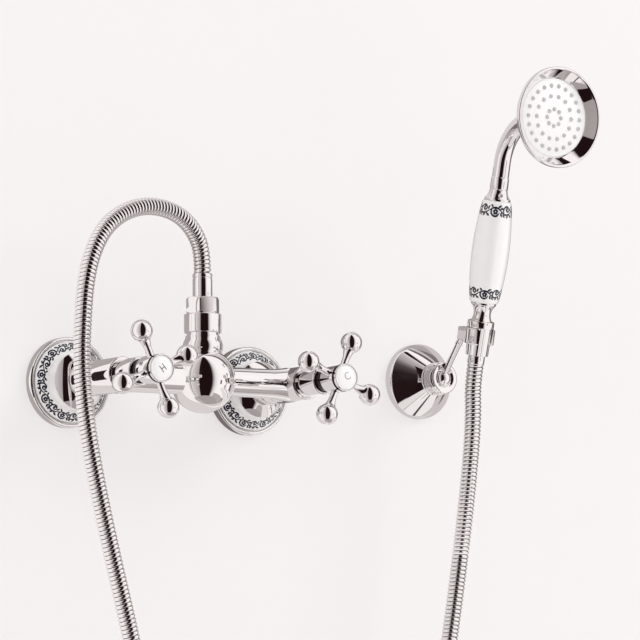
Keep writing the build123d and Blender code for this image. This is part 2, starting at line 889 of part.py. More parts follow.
rib_pitch = hose_length / hose_ribs
rib_profile = [
    (0, hose_groove_r),
    (rib_ramp_share, hose_r),
    (rib_ramp_share + rib_crest_share, hose_r),
    (2 * rib_ramp_share + rib_crest_share, hose_groove_r),
]
stations = [((rib + share) * rib_pitch, radius) for rib in range(hose_ribs) for share, radius in rib_profile]
stations.append((hose_length, hose_groove_r))
with BuildPart() as hose_sheath:
    for distance, radius in stations:
        with BuildSketch(section_plane(distance)):
            Circle(radius)
    loft(ruled=True)
    with BuildSketch(section_plane(0)):
        Circle(hose_bore_r)
    sweep(path=hose_wire, mode=Mode.SUBTRACT)
save(hose_sheath, "hose_sheath")

with BuildPart() as hose_liner:
    with BuildSketch(section_plane(0)):
        Circle(liner_r)
        Circle(liner_bore_r, mode=Mode.SUBTRACT)
    sweep(path=hose_wire)
save(hose_liner, "hose_liner")
liner_section = pi * (liner_r ** 2 - liner_bore_r ** 2)
print("liner volume over section times length", round(hose_liner.part.volume / (liner_section * hose_length), 4))

# Upper hose end: ferrule, cone nut and washer
nut_floor = -cone_nut_low + cone_nut_lip
turned("cone_ferrule", [handset_foot], handset_axis, [
    (ferrule_bore_r, cone_ferrule_end),
    (cone_ferrule_r, cone_ferrule_end),
    (cone_ferrule_r, -cone_nut_low - seat_gap),
    (cone_neck_r, -cone_nut_low - seat_gap),
    (cone_neck_r, nut_floor),
    (cone_flange_r, nut_floor),
    (cone_flange_r, nut_floor + cone_flange_length),
    (ferrule_bore_r, nut_floor + cone_flange_length),
])
turned("cone_nut", [handset_foot], handset_axis, [
    (cone_neck_r + running, -cone_nut_low),
    (cone_nut_r, -cone_nut_low),
    (cone_nut_top_r, nut_shoulder),
    (cone_ring_r, nut_shoulder),
    (cone_ring_r, nut_top - nut_bevel),
    (cone_ring_r - nut_bevel, nut_top),
    (handset_thread_r + running, nut_top),
    (handset_thread_r + running, nut_floor),
    (cone_neck_r + running, nut_floor),
])
washer_start = nut_floor + cone_flange_length
tube_start = washer_start + cone_washer_thickness
turned("cone_washer", [handset_foot], handset_axis, [
    (tube_bore_r, washer_start),
    (cone_flange_r, washer_start),
    (cone_flange_r, tube_start),
    (tube_bore_r, tube_start),
])

# Cradle ring with its block, and the rod with the joint ball
ball_centre = Vector(bracket_x, -joint_ball_h, bracket_z)
rod_end = handset_foot + to_wall * rod_seat_reach - handset_axis * rod_seat_drop
rod_length = (rod_end - ball_centre).length
rod_axis = (rod_end - ball_centre).normalized()
with BuildPart() as cradle:
    with BuildSketch(cradle_plane.offset(-cradle_half)):
        Circle(cradle_r)
    extrude(amount=2 * cradle_half)
    rims = cradle.edges().filter_by(GeomType.CIRCLE)
    chamfer(rims, cradle_round)
    with BuildSketch(cradle_plane.offset(-block_low)):
        with Locations((0, block_reach / 2)):
            RectangleRounded(block_width, block_reach, block_round)
    extrude(amount=block_low + block_high)
    turn_solid(handset_foot, handset_axis, [
        (0, -cone_nut_low),
        (cone_nut_r + cradle_clearance, -cone_nut_low),
        (cone_nut_top_r + cradle_clearance, nut_shoulder),
        (0, nut_shoulder),
    ], mode=Mode.SUBTRACT)
    with BuildSketch(cradle_plane.offset(-cone_nut_low)):
        with Locations((0, -cradle_r)):
            Rectangle(cradle_mouth, 2 * cradle_r)
    extrude(amount=2 * cone_nut_low, mode=Mode.SUBTRACT)
    with BuildSketch(Plane(origin=ball_centre, x_dir=across, z_dir=rod_axis)):
        Circle(rod_r + running / 2)
    extrude(amount=rod_length, mode=Mode.SUBTRACT)
save(cradle, "cradle")

with BuildPart() as ball_rod:
    with BuildSketch(Plane(origin=ball_centre, x_dir=across, z_dir=rod_axis)):
        Circle(rod_r)
    extrude(amount=rod_length)
    with Locations(ball_centre):
        Sphere(joint_ball_r)
save(ball_rod, "ball_rod")

# Wall bracket: plate with screws, cone, socket collar and friction pad
bracket_foot = Vector(bracket_x, 0, bracket_z)
screw_feet = [bracket_foot + across * (way * plate_screw_pitch / 2) for way in (-1, 1)]
grub_start = plate_r - grub_length / 2
down = -up
with BuildPart() as bracket_plate:
    with BuildSketch(face_plane(bracket_foot, 0)):
        Circle(plate_r)
    extrude(amount=plate_thickness)
    for origin in screw_feet:
        turn_solid(origin, outward, [
            (0, 0),
            (wall_screw_r + running, 0),
            (wall_screw_r + running, plate_thickness - wall_screw_head_r + wall_screw_r),
            (wall_screw_head_r + running, plate_thickness),
            (0, plate_thickness),
        ], mode=Mode.SUBTRACT)
    with BuildSketch(Plane(origin=bracket_foot + outward * grub_h, z_dir=down).offset(grub_start)):
        Circle(grub_r)
    extrude(amount=grub_length, mode=Mode.SUBTRACT)
save(bracket_plate, "bracket_plate")
turned("bracket_screws", screw_feet, outward, [
    (0, -wall_screw_length),
    (wall_screw_r, -wall_screw_length + wall_screw_r),
    (wall_screw_r, 0),
    (wall_screw_neck_r, 0),
    (wall_screw_neck_r, plate_thickness - wall_screw_head_r + wall_screw_neck_r),
    (wall_screw_head_r, plate_thickness),
    (0, plate_thickness),
])
cone_inner_r = plate_r + running
nose_end = bracket_nose_h + nose_thread_length
with BuildPart() as bracket_cone:
    turn_solid(bracket_foot, outward, [
        (bracket_r, 0),
        (bracket_r, bracket_side),
        (bracket_cone_r, bracket_cone_start),
        (bracket_nose_r, bracket_nose_h),
        (nose_thread_r, bracket_nose_h),
        (nose_thread_r, nose_end),
        (nose_bore_r, nose_end),
        (nose_bore_r, bracket_nose_h),
        (nose_hole_r, bracket_nose_h),
        (nose_hole_r, bracket_nose_h - nose_floor),
        (nose_thread_r, bracket_nose_h - nose_floor),
        (cone_inner_r - bracket_wall, bracket_side),
        (cone_inner_r, plate_thickness),
        (cone_inner_r, 0),
    ])
    with BuildSketch(Plane(origin=bracket_foot + outward * grub_h, z_dir=down).offset(grub_start)):
        Circle(grub_r + running / 2)
    extrude(amount=bracket_r, mode=Mode.SUBTRACT)
save(bracket_cone, "bracket_cone")
with BuildPart() as bracket_grub:
    with BuildSketch(Plane(origin=bracket_foot + outward * grub_h, z_dir=down).offset(grub_start)):
        Circle(grub_r - running / 2)
    extrude(amount=grub_length)
save(bracket_grub, "bracket_grub")

pad_sphere_r = joint_ball_r + running
with BuildPart() as socket_pad:
    with BuildSketch(face_plane(bracket_foot, bracket_nose_h)):
        Circle(pad_r)
    extrude(amount=joint_ball_h - bracket_nose_h - sqrt(pad_sphere_r ** 2 - pad_r ** 2))
    with Locations(ball_centre):
        Sphere(pad_sphere_r, mode=Mode.SUBTRACT)
save(socket_pad, "socket_pad")

collar_start = bracket_nose_h + seat_gap / 2
collar_end = collar_start + collar_length
lip_h = joint_ball_h + sqrt(pad_sphere_r ** 2 - collar_lip_r ** 2)
throat_h = nose_end + running + pad_sphere_r * throat_share
lip_arc = radians(lip_arc_angle)
rear_groove, front_groove = [
    [collar_start + collar_length * share for share in groove_shares] for groove_shares in collar_groove_shares
]
with BuildPart() as socket_collar:
    turn_solid(bracket_foot, outward, [
        (collar_bore_r, collar_start),
        (bracket_nose_r, collar_start),
        (bracket_nose_r, rear_groove[0]),
        (bracket_nose_r - collar_bead, rear_groove[1]),
        (bracket_nose_r - collar_bead, rear_groove[2]),
        (bracket_nose_r - collar_bead / 2, rear_groove[3]),
        (collar_front_r + collar_bead, front_groove[0]),
        (collar_front_r, front_groove[1]),
        (collar_front_r, front_groove[2]),
        (collar_front_r + collar_bead, front_groove[3]),
        (collar_front_r, collar_end - nut_bevel),
        (collar_front_r - nut_bevel, collar_end),
        (collar_mouth_r, collar_end),
        (collar_lip_r, lip_h),
        ((pad_sphere_r * cos(lip_arc), joint_ball_h + pad_sphere_r * sin(lip_arc)), (pad_sphere_r, joint_ball_h)),
        (pad_sphere_r, throat_h),
        (collar_bore_r, nose_end + running),
    ])
    with BuildSketch(face_plane(bracket_foot, joint_ball_h - collar_slot_back)):
        with Locations((0, bracket_nose_r)):
            Rectangle(collar_slot, 2 * bracket_nose_r)
    extrude(amount=collar_length, mode=Mode.SUBTRACT)
save(socket_collar, "socket_collar")

# Handset: collars, porcelain grip, water tube and neck
turned("lower_collar", [handset_foot], handset_axis, [
    (tube_r + running, lower_collar_start),
    (lower_collar_foot_r, lower_collar_start),
    ((lower_collar_waist_r, lower_collar_start + lower_collar_waist_length),
     (lower_collar_r, grip_start - lower_collar_bead)),
    (lower_collar_r, grip_start),
    (tube_r + running, grip_start),
])
grip_middle = (grip_start + grip_end) / 2
turned("grip", [handset_foot], handset_axis, [
    (grip_bore_r, grip_start),
    (grip_end_r - grip_round, grip_start),
    (grip_end_r, grip_start + grip_round),
    ((grip_r, grip_middle), (grip_end_r, grip_end - grip_round)),
    (grip_end_r - grip_round, grip_end),
    (grip_bore_r, grip_end),
])
tube_spigot_r = neck_bore_r - running
turned("water_tube", [handset_foot], handset_axis, [
    (tube_bore_r, tube_start),
    (handset_thread_r, tube_start),
    (handset_thread_r, lower_collar_start),
    (tube_r, lower_collar_start),
    (tube_r, tube_shoulder),
    (tube_spigot_r, tube_shoulder),
    (tube_spigot_r, tube_end),
    (tube_bore_r, tube_end),
])
turned("upper_collar", [handset_foot], handset_axis, [
    (neck_r + running, grip_end),
    (upper_collar_r, grip_end),
    (upper_collar_r, grip_end + upper_collar_bead),
    ((upper_collar_waist_r, grip_end + upper_collar_waist_length), (upper_collar_end_r, upper_collar_end)),
    (neck_r + running, upper_collar_end),
])

bend_foot = handset_foot + handset_axis * bend_start
bend_centre = bend_foot - to_wall * bend_r
bend_angle = radians(bend_turn)
half_bend = bend_angle / 2
bend_mid = bend_centre + to_wall * (bend_r * cos(half_bend)) + handset_axis * (bend_r * sin(half_bend))
bend_end = bend_centre + to_wall * (bend_r * cos(bend_angle)) + handset_axis * (bend_r * sin(bend_angle))
leaving = handset_axis * cos(bend_angle) - to_wall * sin(bend_angle)
with BuildPart() as neck:
    with BuildLine() as neck_line:
        Line(handset_foot + handset_axis * tube_shoulder, bend_foot)
        ThreePointArc(bend_foot, bend_mid, bend_end)
        Line(bend_end, bend_end + leaving * neck_tail)
    with BuildSketch(cradle_plane.offset(tube_shoulder)):
        Circle(neck_r)
        Circle(neck_bore_r, mode=Mode.SUBTRACT)
    sweep(path=neck_line.wires()[0])
save(neck, "neck")

# Head, turned about its own axis, which leaves the neck's end
neck_end = bend_end + leaving * neck_tail
backwards = -leaving
head_foot = neck_end - backwards * head_boss_bore
print("head rim centre", [round(value, 1) for value in head_foot])
ledge_r = mat_r + running
with BuildPart() as head_shell:
    turn_solid(head_foot, backwards, [
        (head_r - head_rim_round, 0),
        ((head_r - head_rim_round * round_share, head_rim_round * round_share), (head_r, head_rim_round)),
        (head_r, head_rim),
        (head_step_r, head_step),
        ((head_shoulder_r, head_shoulder), (head_waist_r, head_waist)),
        (((head_waist_r + head_boss_r) / 2 - head_wall, (head_waist + head_boss_start) / 2 + head_wall / 2),
         (head_boss_r, head_boss_start)),
        (head_boss_r, head_boss_end),
        (neck_r + running, head_boss_end),
        (neck_r + running, head_boss_bore),
        (neck_bore_r, head_boss_bore),
        (neck_bore_r, head_boss_start - head_wall),
        (head_waist_r - head_wall, head_waist - head_wall),
        (ledge_r, head_ledge),
        (spray_r + running, head_ledge),
        (spray_r + running, plate_recess),
    ])
save(head_shell, "head_shell")


def nozzle_circles(radius, mode=Mode.ADD):
    """Circles at the nozzles, in the sketch in work."""
    for count, ring_radius in zip(nozzle_counts, nozzle_ring_radii):
        with PolarLocations(ring_radius, count):
            Circle(radius, mode=mode)


head_plane = Plane(origin=head_foot, x_dir=across, z_dir=backwards)
spray_back = plate_recess + spray_thickness
with BuildPart() as spray_plate:
    with BuildSketch(head_plane.offset(plate_recess)):
        Circle(spray_r)
        nozzle_circles(nub_hole_r, Mode.SUBTRACT)
        with PolarLocations(spray_r, spray_keys, start_angle=spray_key_turn):
            Rectangle(spray_key_depth, spray_key_width, mode=Mode.SUBTRACT)
    extrude(amount=spray_thickness)
save(spray_plate, "spray_plate")
with BuildPart() as nozzle_mat:
    with BuildSketch(head_plane.offset(spray_back)):
        Circle(mat_r)
    extrude(amount=mat_thickness)
    with BuildSketch(head_plane.offset(plate_recess - nub_proud)):
        nozzle_circles(nub_r)
    extrude(amount=spray_back - plate_recess + nub_proud)
save(nozzle_mat, "nozzle_mat")
turned("head_seal", [head_foot], backwards, [
    (mat_r + running, spray_back),
    (spray_r, spray_back),
    (spray_r, head_ledge),
    (mat_r + running, head_ledge),
])
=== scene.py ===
"""Looks of the wall-mounted shower mixer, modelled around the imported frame.

Metres, +Z up, and the wall is the plane y = 0. Outlines of turned pieces, radii, stations and edges are in
millimetres.
"""

import json
from math import atan2, cos, pi, radians, sin, sqrt

import bmesh
import bpy
import numpy as np
from mathutils import Matrix, Vector


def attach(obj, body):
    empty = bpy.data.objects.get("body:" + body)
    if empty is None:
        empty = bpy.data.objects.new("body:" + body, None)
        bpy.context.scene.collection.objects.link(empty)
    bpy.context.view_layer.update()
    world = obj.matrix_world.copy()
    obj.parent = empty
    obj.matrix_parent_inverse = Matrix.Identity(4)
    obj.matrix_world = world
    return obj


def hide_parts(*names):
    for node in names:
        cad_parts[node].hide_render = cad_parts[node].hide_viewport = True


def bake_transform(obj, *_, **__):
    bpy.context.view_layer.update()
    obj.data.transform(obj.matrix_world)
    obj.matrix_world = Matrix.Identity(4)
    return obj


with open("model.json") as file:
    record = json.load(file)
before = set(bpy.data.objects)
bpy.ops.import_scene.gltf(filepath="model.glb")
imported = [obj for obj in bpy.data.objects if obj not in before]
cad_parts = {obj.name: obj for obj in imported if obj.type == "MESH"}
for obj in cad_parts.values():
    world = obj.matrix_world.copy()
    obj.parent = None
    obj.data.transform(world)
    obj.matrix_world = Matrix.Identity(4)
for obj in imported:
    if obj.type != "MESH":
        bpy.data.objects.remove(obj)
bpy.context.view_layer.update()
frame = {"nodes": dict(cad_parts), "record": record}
scene = bpy.context.scene
scene.view_settings.view_transform = "Standard"
MM = 0.001
grain_share = 12  # how much finer the grain of a surface is than its drift in tone

# Camera, at the photograph's place
camera_azimuth, camera_rise, camera_roll = radians(-33.769), radians(-5.996), radians(-0.516)
camera_distance = 3.0927
camera_target = Vector((0.15414, 0, 0.06091))
towards_camera = Vector((
    sin(camera_azimuth) * cos(camera_rise), -cos(camera_azimuth) * cos(camera_rise), sin(camera_rise)))
level = Vector((0, 0, 1)).cross(towards_camera).normalized()
upright = towards_camera.cross(level)
camera_right = level * cos(camera_roll) + upright * sin(camera_roll)
camera_up = upright * cos(camera_roll) - level * sin(camera_roll)
camera_data = bpy.data.cameras.new("camera")
camera_data.sensor_width = 36
camera_data.lens = 215.46
camera = bpy.data.objects.new("camera", camera_data)
scene.collection.objects.link(camera)
camera.matrix_world = Matrix.Translation(camera_target + towards_camera * camera_distance) @ Matrix(
    (camera_right, camera_up, towards_camera)).transposed().to_4x4()
scene.camera = camera

# Where things stand, as in the part
out = Vector((0, -1, 0))
up = Vector((0, 0, 1))
across = Vector((1, 0, 0))
half_pitch = 0.0825
inlets = {"hot": Vector((-half_pitch, 0, 0)), "cold": Vector((half_pitch, 0, 0))}
handle_turns = {"hot": -22.2, "cold": 22.4}
body_centre = Vector((0, -0.068, 0))
bracket_foot = Vector((0.2483, 0, 0.0146))
lean = radians(14.2)
handset_foot = Vector((0.2483, -0.0885, 0.0446))
along_handset = Vector((0, -sin(lean), cos(lean)))
to_wall = Vector((0, cos(lean), sin(lean)))
ball_station = 37
joint_ball = bracket_foot + out * ball_station * MM
rod_behind, rod_below = 21.9, 1.85
rod_end = handset_foot + to_wall * rod_behind * MM - along_handset * rod_below * MM
neck_foot, bend_station, neck_tail, neck_to_head = 113.5, 140, 4, 31
bend_r, bend_turn = 39.4 * MM, radians(80.8)
bend_foot = handset_foot + along_handset * bend_station * MM
bend_centre = bend_foot - to_wall * bend_r
bend_end = bend_centre + to_wall * bend_r * cos(bend_turn) + along_handset * bend_r * sin(bend_turn)
leaving = along_handset * cos(bend_turn) - to_wall * sin(bend_turn)
neck_end = bend_end + leaving * neck_tail * MM
head_foot = neck_end + leaving * neck_to_head * MM
backwards = -leaving


# Finishes
def tone_between(nodes, links, share, first, second):
    """A colour between two by a share; the first is a colour or another node's."""
    tones = nodes.new("ShaderNodeMix")
    tones.data_type = "RGBA"
    if isinstance(first, tuple):
        tones.inputs["A"].default_value = (*first, 1)
    else:
        links.new(first, tones.inputs["A"])
    tones.inputs["B"].default_value = (*second, 1)
    links.new(share, tones.inputs["Factor"])
    return tones.outputs["Result"]


def finish(name, colour, second, roughness, metallic=0.0, scale=40.0, bump=0.0, coat=0.0):
    """A finish whose colour drifts between two tones and whose gloss varies a little, by noise."""
    material = bpy.data.materials.new(name)
    material.use_nodes = True
    nodes, links = material.node_tree.nodes, material.node_tree.links
    shader = nodes["Principled BSDF"]
    shader.inputs["Metallic"].default_value = metallic
    shader.inputs["Coat Weight"].default_value = coat
    shader.inputs["Coat Roughness"].default_value = 0.04
    place = nodes.new("ShaderNodeTexCoord")
    noise = nodes.new("ShaderNodeTexNoise")
    noise.inputs["Scale"].default_value = scale
    noise.inputs["Detail"].default_value = 3
    links.new(place.outputs["Object"], noise.inputs["Vector"])
    links.new(tone_between(nodes, links, noise.outputs["Fac"], colour, second), shader.inputs["Base Color"])
    gloss = nodes.new("ShaderNodeMapRange")
    gloss.inputs["From Min"].default_value = 0.3
    gloss.inputs["From Max"].default_value = 0.7
    gloss.inputs["To Min"].default_value = roughness[0]
    gloss.inputs["To Max"].default_value = roughness[1]
    links.new(noise.outputs["Fac"], gloss.inputs["Value"])
    links.new(gloss.outputs["Result"], shader.inputs["Roughness"])
    if bump:
        grain = nodes.new("ShaderNodeTexNoise")
        grain.inputs["Scale"].default_value = scale * grain_share
        grain.inputs["Detail"].default_value = 4
        links.new(place.outputs["Object"], grain.inputs["Vector"])
        height = nodes.new("ShaderNodeBump")
        height.inputs["Strength"].default_value = bump
        height.inputs["Distance"].default_value = 0.1 * MM
        links.new(grain.outputs["Fac"], height.inputs["Height"])
        links.new(height.outputs["Normal"], shader.inputs["Normal"])
    return material


def shade_gaps(material):
    """Paints shade into the hose between its ribs, where the attribute named gap rises to one."""
    nodes, links = material.node_tree.nodes, material.node_tree.links
    shader = nodes["Principled BSDF"]
    tone = shader.inputs["Base Color"].links[0].from_socket
    gap = nodes.new("ShaderNodeAttribute")
    gap.attribute_name = "gap"
    depth = nodes.new("ShaderNodeMapRange")
    depth.inputs["From Min"].default_value = 0.35
    depth.inputs["From Max"].default_value = 0.9
    links.new(gap.outputs["Fac"], depth.inputs["Value"])
    shaded = tone_between(nodes, links, depth.outputs["Result"], tone, (0.03, 0.026, 0.026))
    links.new(shaded, shader.inputs["Base Color"])


chrome = finish("chrome", (0.94, 0.925, 0.92), (0.88, 0.865, 0.86), (0.02, 0.06), metallic=1.0, scale=30)
hose_chrome = finish(
    "hose_chrome", (0.94, 0.92, 0.91), (0.87, 0.85, 0.84), (0.05, 0.1), metallic=1.0, scale=60)
shade_gaps(hose_chrome)
porcelain = finish(
    "porcelain", (0.93, 0.93, 0.92), (0.9, 0.9, 0.895), (0.12, 0.2), coat=1.0, scale=25, bump=0.02)
scroll_blue = finish(
    "scroll_blue", (0.008, 0.009, 0.022), (0.02, 0.022, 0.05), (0.15, 0.25), coat=1.0, scale=300)
index_white = finish("index_white", (0.93, 0.93, 0.92), (0.9, 0.9, 0.9), (0.15, 0.25), coat=0.5, scale=60)
letter_grey = finish("letter_grey", (0.08, 0.08, 0.09), (0.14, 0.14, 0.15), (0.3, 0.4), scale=400)
letter_pale = finish("letter_pale", (0.36, 0.36, 0.37), (0.44, 0.44, 0.45), (0.3, 0.4), scale=400)
spray_white = finish("spray_white", (0.93, 0.93, 0.93), (0.9, 0.9, 0.9), (0.2, 0.3), scale=80, bump=0.05)
nozzle_grey = finish("nozzle_grey", (0.66, 0.65, 0.65), (0.56, 0.55, 0.55), (0.5, 0.65), scale=200, bump=0.1)
shell_maroon = finish(
    "shell_maroon", (0.022, 0.005, 0.007), (0.012, 0.004, 0.005), (0.15, 0.25), metallic=0.6, scale=80)
rubber = finish("seal_rubber", (0.02, 0.02, 0.02), (0.035, 0.035, 0.035), (0.6, 0.8), scale=150, bump=0.2)
disc_ceramic = finish("disc_ceramic", (0.85, 0.84, 0.8), (0.8, 0.79, 0.75), (0.15, 0.3), scale=80)
brass = finish(
    "brass", (0.78, 0.58, 0.28), (0.66, 0.48, 0.22), (0.2, 0.35), metallic=1.0, scale=90, bump=0.05)
dull_plastic = finish("dull_plastic", (0.5, 0.51, 0.53), (0.44, 0.45, 0.47), (0.45, 0.6), scale=120, bump=0.1)
steel = finish(
    "zinc_steel", (0.58, 0.58, 0.6), (0.46, 0.46, 0.49), (0.25, 0.4), metallic=1.0, scale=120, bump=0.05)
slot_finishes = {
    "chrome": chrome, "porcelain": porcelain, "seal_rubber": rubber, "disc_ceramic": disc_ceramic,
    "brass": brass, "white_plastic": spray_white, "plain_plastic": dull_plastic, "steel": steel,
    "hose_liner": rubber, "hose_metal": hose_chrome,
}


# Modelling
same_place = MM / 100


def deselect():
    bpy.ops.object.select_all(action="DESELECT")


def side_of(axis):
    """The direction in which a turned piece's outline is drawn."""
    return across if abs(axis.x) < 0.9 else up


def bow(start, through, end, count=8):
    """Points of the arc from start through a middle point to its end, without the start."""
    (ax, ay), (bx, by), (cx, cy) = start, through, end
    a_far, b_far, c_far = ax * ax + ay * ay, bx * bx + by * by, cx * cx + cy * cy
    d = 2 * (ax * (by - cy) + bx * (cy - ay) + cx * (ay - by))
    ux = (a_far * (by - cy) + b_far * (cy - ay) + c_far * (ay - by)) / d
    uy = (a_far * (cx - bx) + b_far * (ax - cx) + c_far * (bx - ax)) / d
    radius = sqrt((ax - ux) ** 2 + (ay - uy) ** 2)
    first = atan2(ay - uy, ax - ux)
    middle = (atan2(by - uy, bx - ux) - first) % (2 * pi)
    last = (atan2(cy - uy, cx - ux) - first) % (2 * pi)
    if middle > last:
        last -= 2 * pi
    return [(ux + radius * cos(first + last * k / count), uy + radius * sin(first + last * k / count))
            for k in range(1, count + 1)]


def smooth_and_settle(piece, edge=0.0, segments=2, smooth=40):
    """Rounds a piece's edges, shades it and puts its origin at the world's."""
    deselect()
    piece.select_set(True)
    bpy.context.view_layer.objects.active = piece
    if edge:
        rounding = piece.modifiers.new("rounding", "BEVEL")
        rounding.width = edge * MM
        rounding.segments = segments
        rounding.limit_method = "ANGLE"
        rounding.angle_limit = radians(30)
        bpy.ops.object.modifier_apply(modifier="rounding")
    bpy.ops.object.transform_apply(location=True, rotation=True, scale=True)
    bpy.ops.object.shade_smooth_by_angle(angle=radians(smooth))
    return piece


def lathe(name, origin, axis, outline, steps=96, edge=0.2, settle=True):
    """A turned piece. The outline, (radius, station), is drawn point by point and spun about the axis."""
    deselect()
    side = side_of(axis)
    places = [origin + side * (radius * MM) + axis * (station * MM) for radius, station in outline]
    bpy.ops.mesh.primitive_plane_add(size=MM, location=places[0])
    piece = bpy.context.object
    piece.name = piece.data.name = name
    bpy.ops.object.mode_set(mode="EDIT")
    bpy.ops.mesh.merge(type="CENTER")
    for here, there in zip(places, places[1:]):
        bpy.ops.mesh.extrude_region_move(TRANSFORM_OT_translate={"value": there - here})
    if outline[0][0] > 0:
        for vertex in bmesh.from_edit_mesh(piece.data).verts:
            place = piece.matrix_world @ vertex.co
            vertex.select = min((place - places[0]).length, (place - places[-1]).length) < same_place
        bpy.ops.mesh.edge_face_add()
    bpy.ops.mesh.select_all(action="SELECT")
    bpy.ops.mesh.spin(steps=steps, angle=2 * pi, center=origin, axis=axis)
    bpy.ops.mesh.select_all(action="SELECT")
    bpy.ops.mesh.remove_doubles(threshold=same_place)
    bpy.ops.mesh.normals_make_consistent(inside=False)
    bpy.ops.object.mode_set(mode="OBJECT")
    return smooth_and_settle(piece, edge) if settle else piece


def combine(piece, other, operation):
    """Joins another closed piece to this one or cuts it away, and removes it."""
    deselect()
    bpy.context.view_layer.objects.active = piece
    piece.select_set(True)
    cut = piece.modifiers.new("cut", "BOOLEAN")
    cut.operation = operation
    cut.solver = "EXACT"
    cut.object = other
    bpy.ops.object.modifier_apply(modifier="cut")
    bpy.data.objects.remove(other)


def block(name, origin, x_side, y_side, z_side, size, middle=(0, 0, 0), edge=0.0, segments=3):
    """A box with its own three directions; size and middle in millimetres along them."""
    deselect()
    directions = Matrix((x_side, y_side, z_side)).transposed()
    place = origin + directions @ (Vector(middle) * MM)
    bpy.ops.mesh.primitive_cube_add(size=1, location=place, rotation=directions.to_euler(),
                                    scale=Vector(size) * MM)
    piece = bpy.context.object
    piece.name = piece.data.name = name
    return smooth_and_settle(piece, edge, segments)


def copy_of(piece, name, matrix):
    """A copy of a piece with its own mesh, moved by a matrix."""
    copied = piece.copy()
    copied.data = piece.data.copy()
    copied.name = copied.data.name = name
    copied.data.transform(matrix)
    scene.collection.objects.link(copied)
    return copied


def join(pieces, name):
    """Makes several pieces one mesh."""
    deselect()
    for piece in pieces:
        piece.select_set(True)
    bpy.context.view_layer.objects.active = pieces[0]
    bpy.ops.object.join()
    joined = bpy.context.object
    joined.name = joined.data.name = name
    return joined


def dress(piece, body, material, slot, *stands_for):
    """Gives a piece its finish and its body and hides the nodes it stands for; the slot is not used."""
    piece.data.materials.clear()
    piece.data.materials.append(material)
    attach(piece, body)
    if stands_for:
        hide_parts(*stands_for)
    return piece


def turned_about(origin, axis, angle):
    """The matrix that turns a piece about an axis through a place."""
    return Matrix.Translation(origin) @ Matrix.Rotation(angle, 4, axis) @ Matrix.Translation(-origin)


def runs_of(outline):
    """How far along a line of (radius, station) each of its points lies."""
    runs = [0.0]
    for (r0, s0), (r1, s1) in zip(outline, outline[1:]):
        runs.append(runs[-1] + sqrt((r1 - r0) ** 2 + (s1 - s0) ** 2))
    return runs


def along_outline(outline, first, last, count):
    """Evenly spaced points of a line of (radius, station) between two shares of its length."""
    runs = runs_of(outline)
    radii, stations = zip(*outline)
    marks = np.linspace(first, last, count) * runs[-1]
    return [(float(np.interp(mark, runs, radii)), float(np.interp(mark, runs, stations))) for mark in marks]


# Painted scroll: one length of it, drawn flat with strokes that swell and thin as a brush leaves them
scroll_length, scroll_height = 17, 7.4
flower_heart = (4.6, -0.5)
scroll_strokes = [
    ([(-0.6, -0.4), (1.6, 1.2), (4.2, 2.1), (6.6, 1.5), (8.5, 0), (10.4, -1.5), (12.8, -2.1), (15.4, -1.2),
      (17, 0.1)], [0.22, 0.3, 0.46, 0.36, 0.26, 0.34, 0.48, 0.34, 0.22]),
    ([(1.8, 1.4), (1.3, -0.6), (2.2, -2.5), (4.4, -3.4), (6.6, -2.6), (7.2, -0.8)],
     [0.3, 0.5, 0.36, 0.48, 0.34, 0.16]),
    ([(10.6, -1.5), (10, 0.6), (11.2, 2.6), (13.4, 3.2), (15.2, 1.8), (14.6, 0.1), (13, 0), (12.6, 1.2)],
     [0.28, 0.46, 0.36, 0.5, 0.36, 0.34, 0.42, 0.56]),
    ([(6.4, 1.9), (7.4, 3.0), (8.9, 3.4)], [0.2, 0.85, 0.14]),
    ([(7.6, 0.9), (9.2, 1.8), (10.4, 1.7)], [0.18, 0.9, 0.12]),
    ([(8.6, -0.6), (8.3, -2.1), (9.2, -3.4)], [0.16, 0.85, 0.12]),
    ([(9.9, -1.6), (10.2, -2.8), (11.4, -3.4)], [0.16, 0.8, 0.12]),
    ([(15.2, -1.7), (16.2, -2.8), (17.6, -3.1)], [0.2, 0.9, 0.14]),
    ([(14.0, -2.2), (13.6, -3.1), (12.4, -3.6)], [0.18, 0.7, 0.12]),
    ([(16.0, 0.4), (16.2, 1.9), (17.4, 2.8)], [0.16, 0.8, 0.12]),
    ([(2.4, 2.0), (2.0, 3.0), (0.8, 3.5)], [0.18, 0.8, 0.12]),
    ([(12.4, 1.0), (13.0, 1.7), (13.7, 1.2)], [0.4, 0.9, 0.4]),
]
petals, petal_turn = 5, 0.4
for petal in range(petals):
    turn = 2 * pi * petal / petals + petal_turn
    places = [(flower_heart[0] + far * cos(turn), flower_heart[1] + far * sin(turn))
              for far in (0.35, 1.1, 1.85)]
    scroll_strokes.append((places, [0.4, 0.85, 0.3]))
brush_share = 1.45
paint_span, paint_lift, paint_depth = 0.2, 0.02, 0.16
paint = bpy.data.curves.new("scroll", "CURVE")
paint.dimensions = "3D"
paint.bevel_depth = MM
paint.bevel_resolution = 1
paint.use_fill_caps = True
for places, halves in scroll_strokes:
    stroke = paint.splines.new("NURBS")
    stroke.points.add(len(places) - 1)
    for point, (x, y), half in zip(stroke.points, places, halves):
        point.co = (x * MM, y * MM, 0, 1)
        point.radius = half * brush_share
    stroke.order_u = 3
    stroke.use_endpoint_u = True
    stroke.resolution_u = 4
scroll_drawing = bpy.data.objects.new("scroll", paint)
scene.collection.objects.link(scroll_drawing)
scroll_flat = bpy.data.meshes.new_from_object(scroll_drawing)
bpy.data.objects.remove(scroll_drawing)


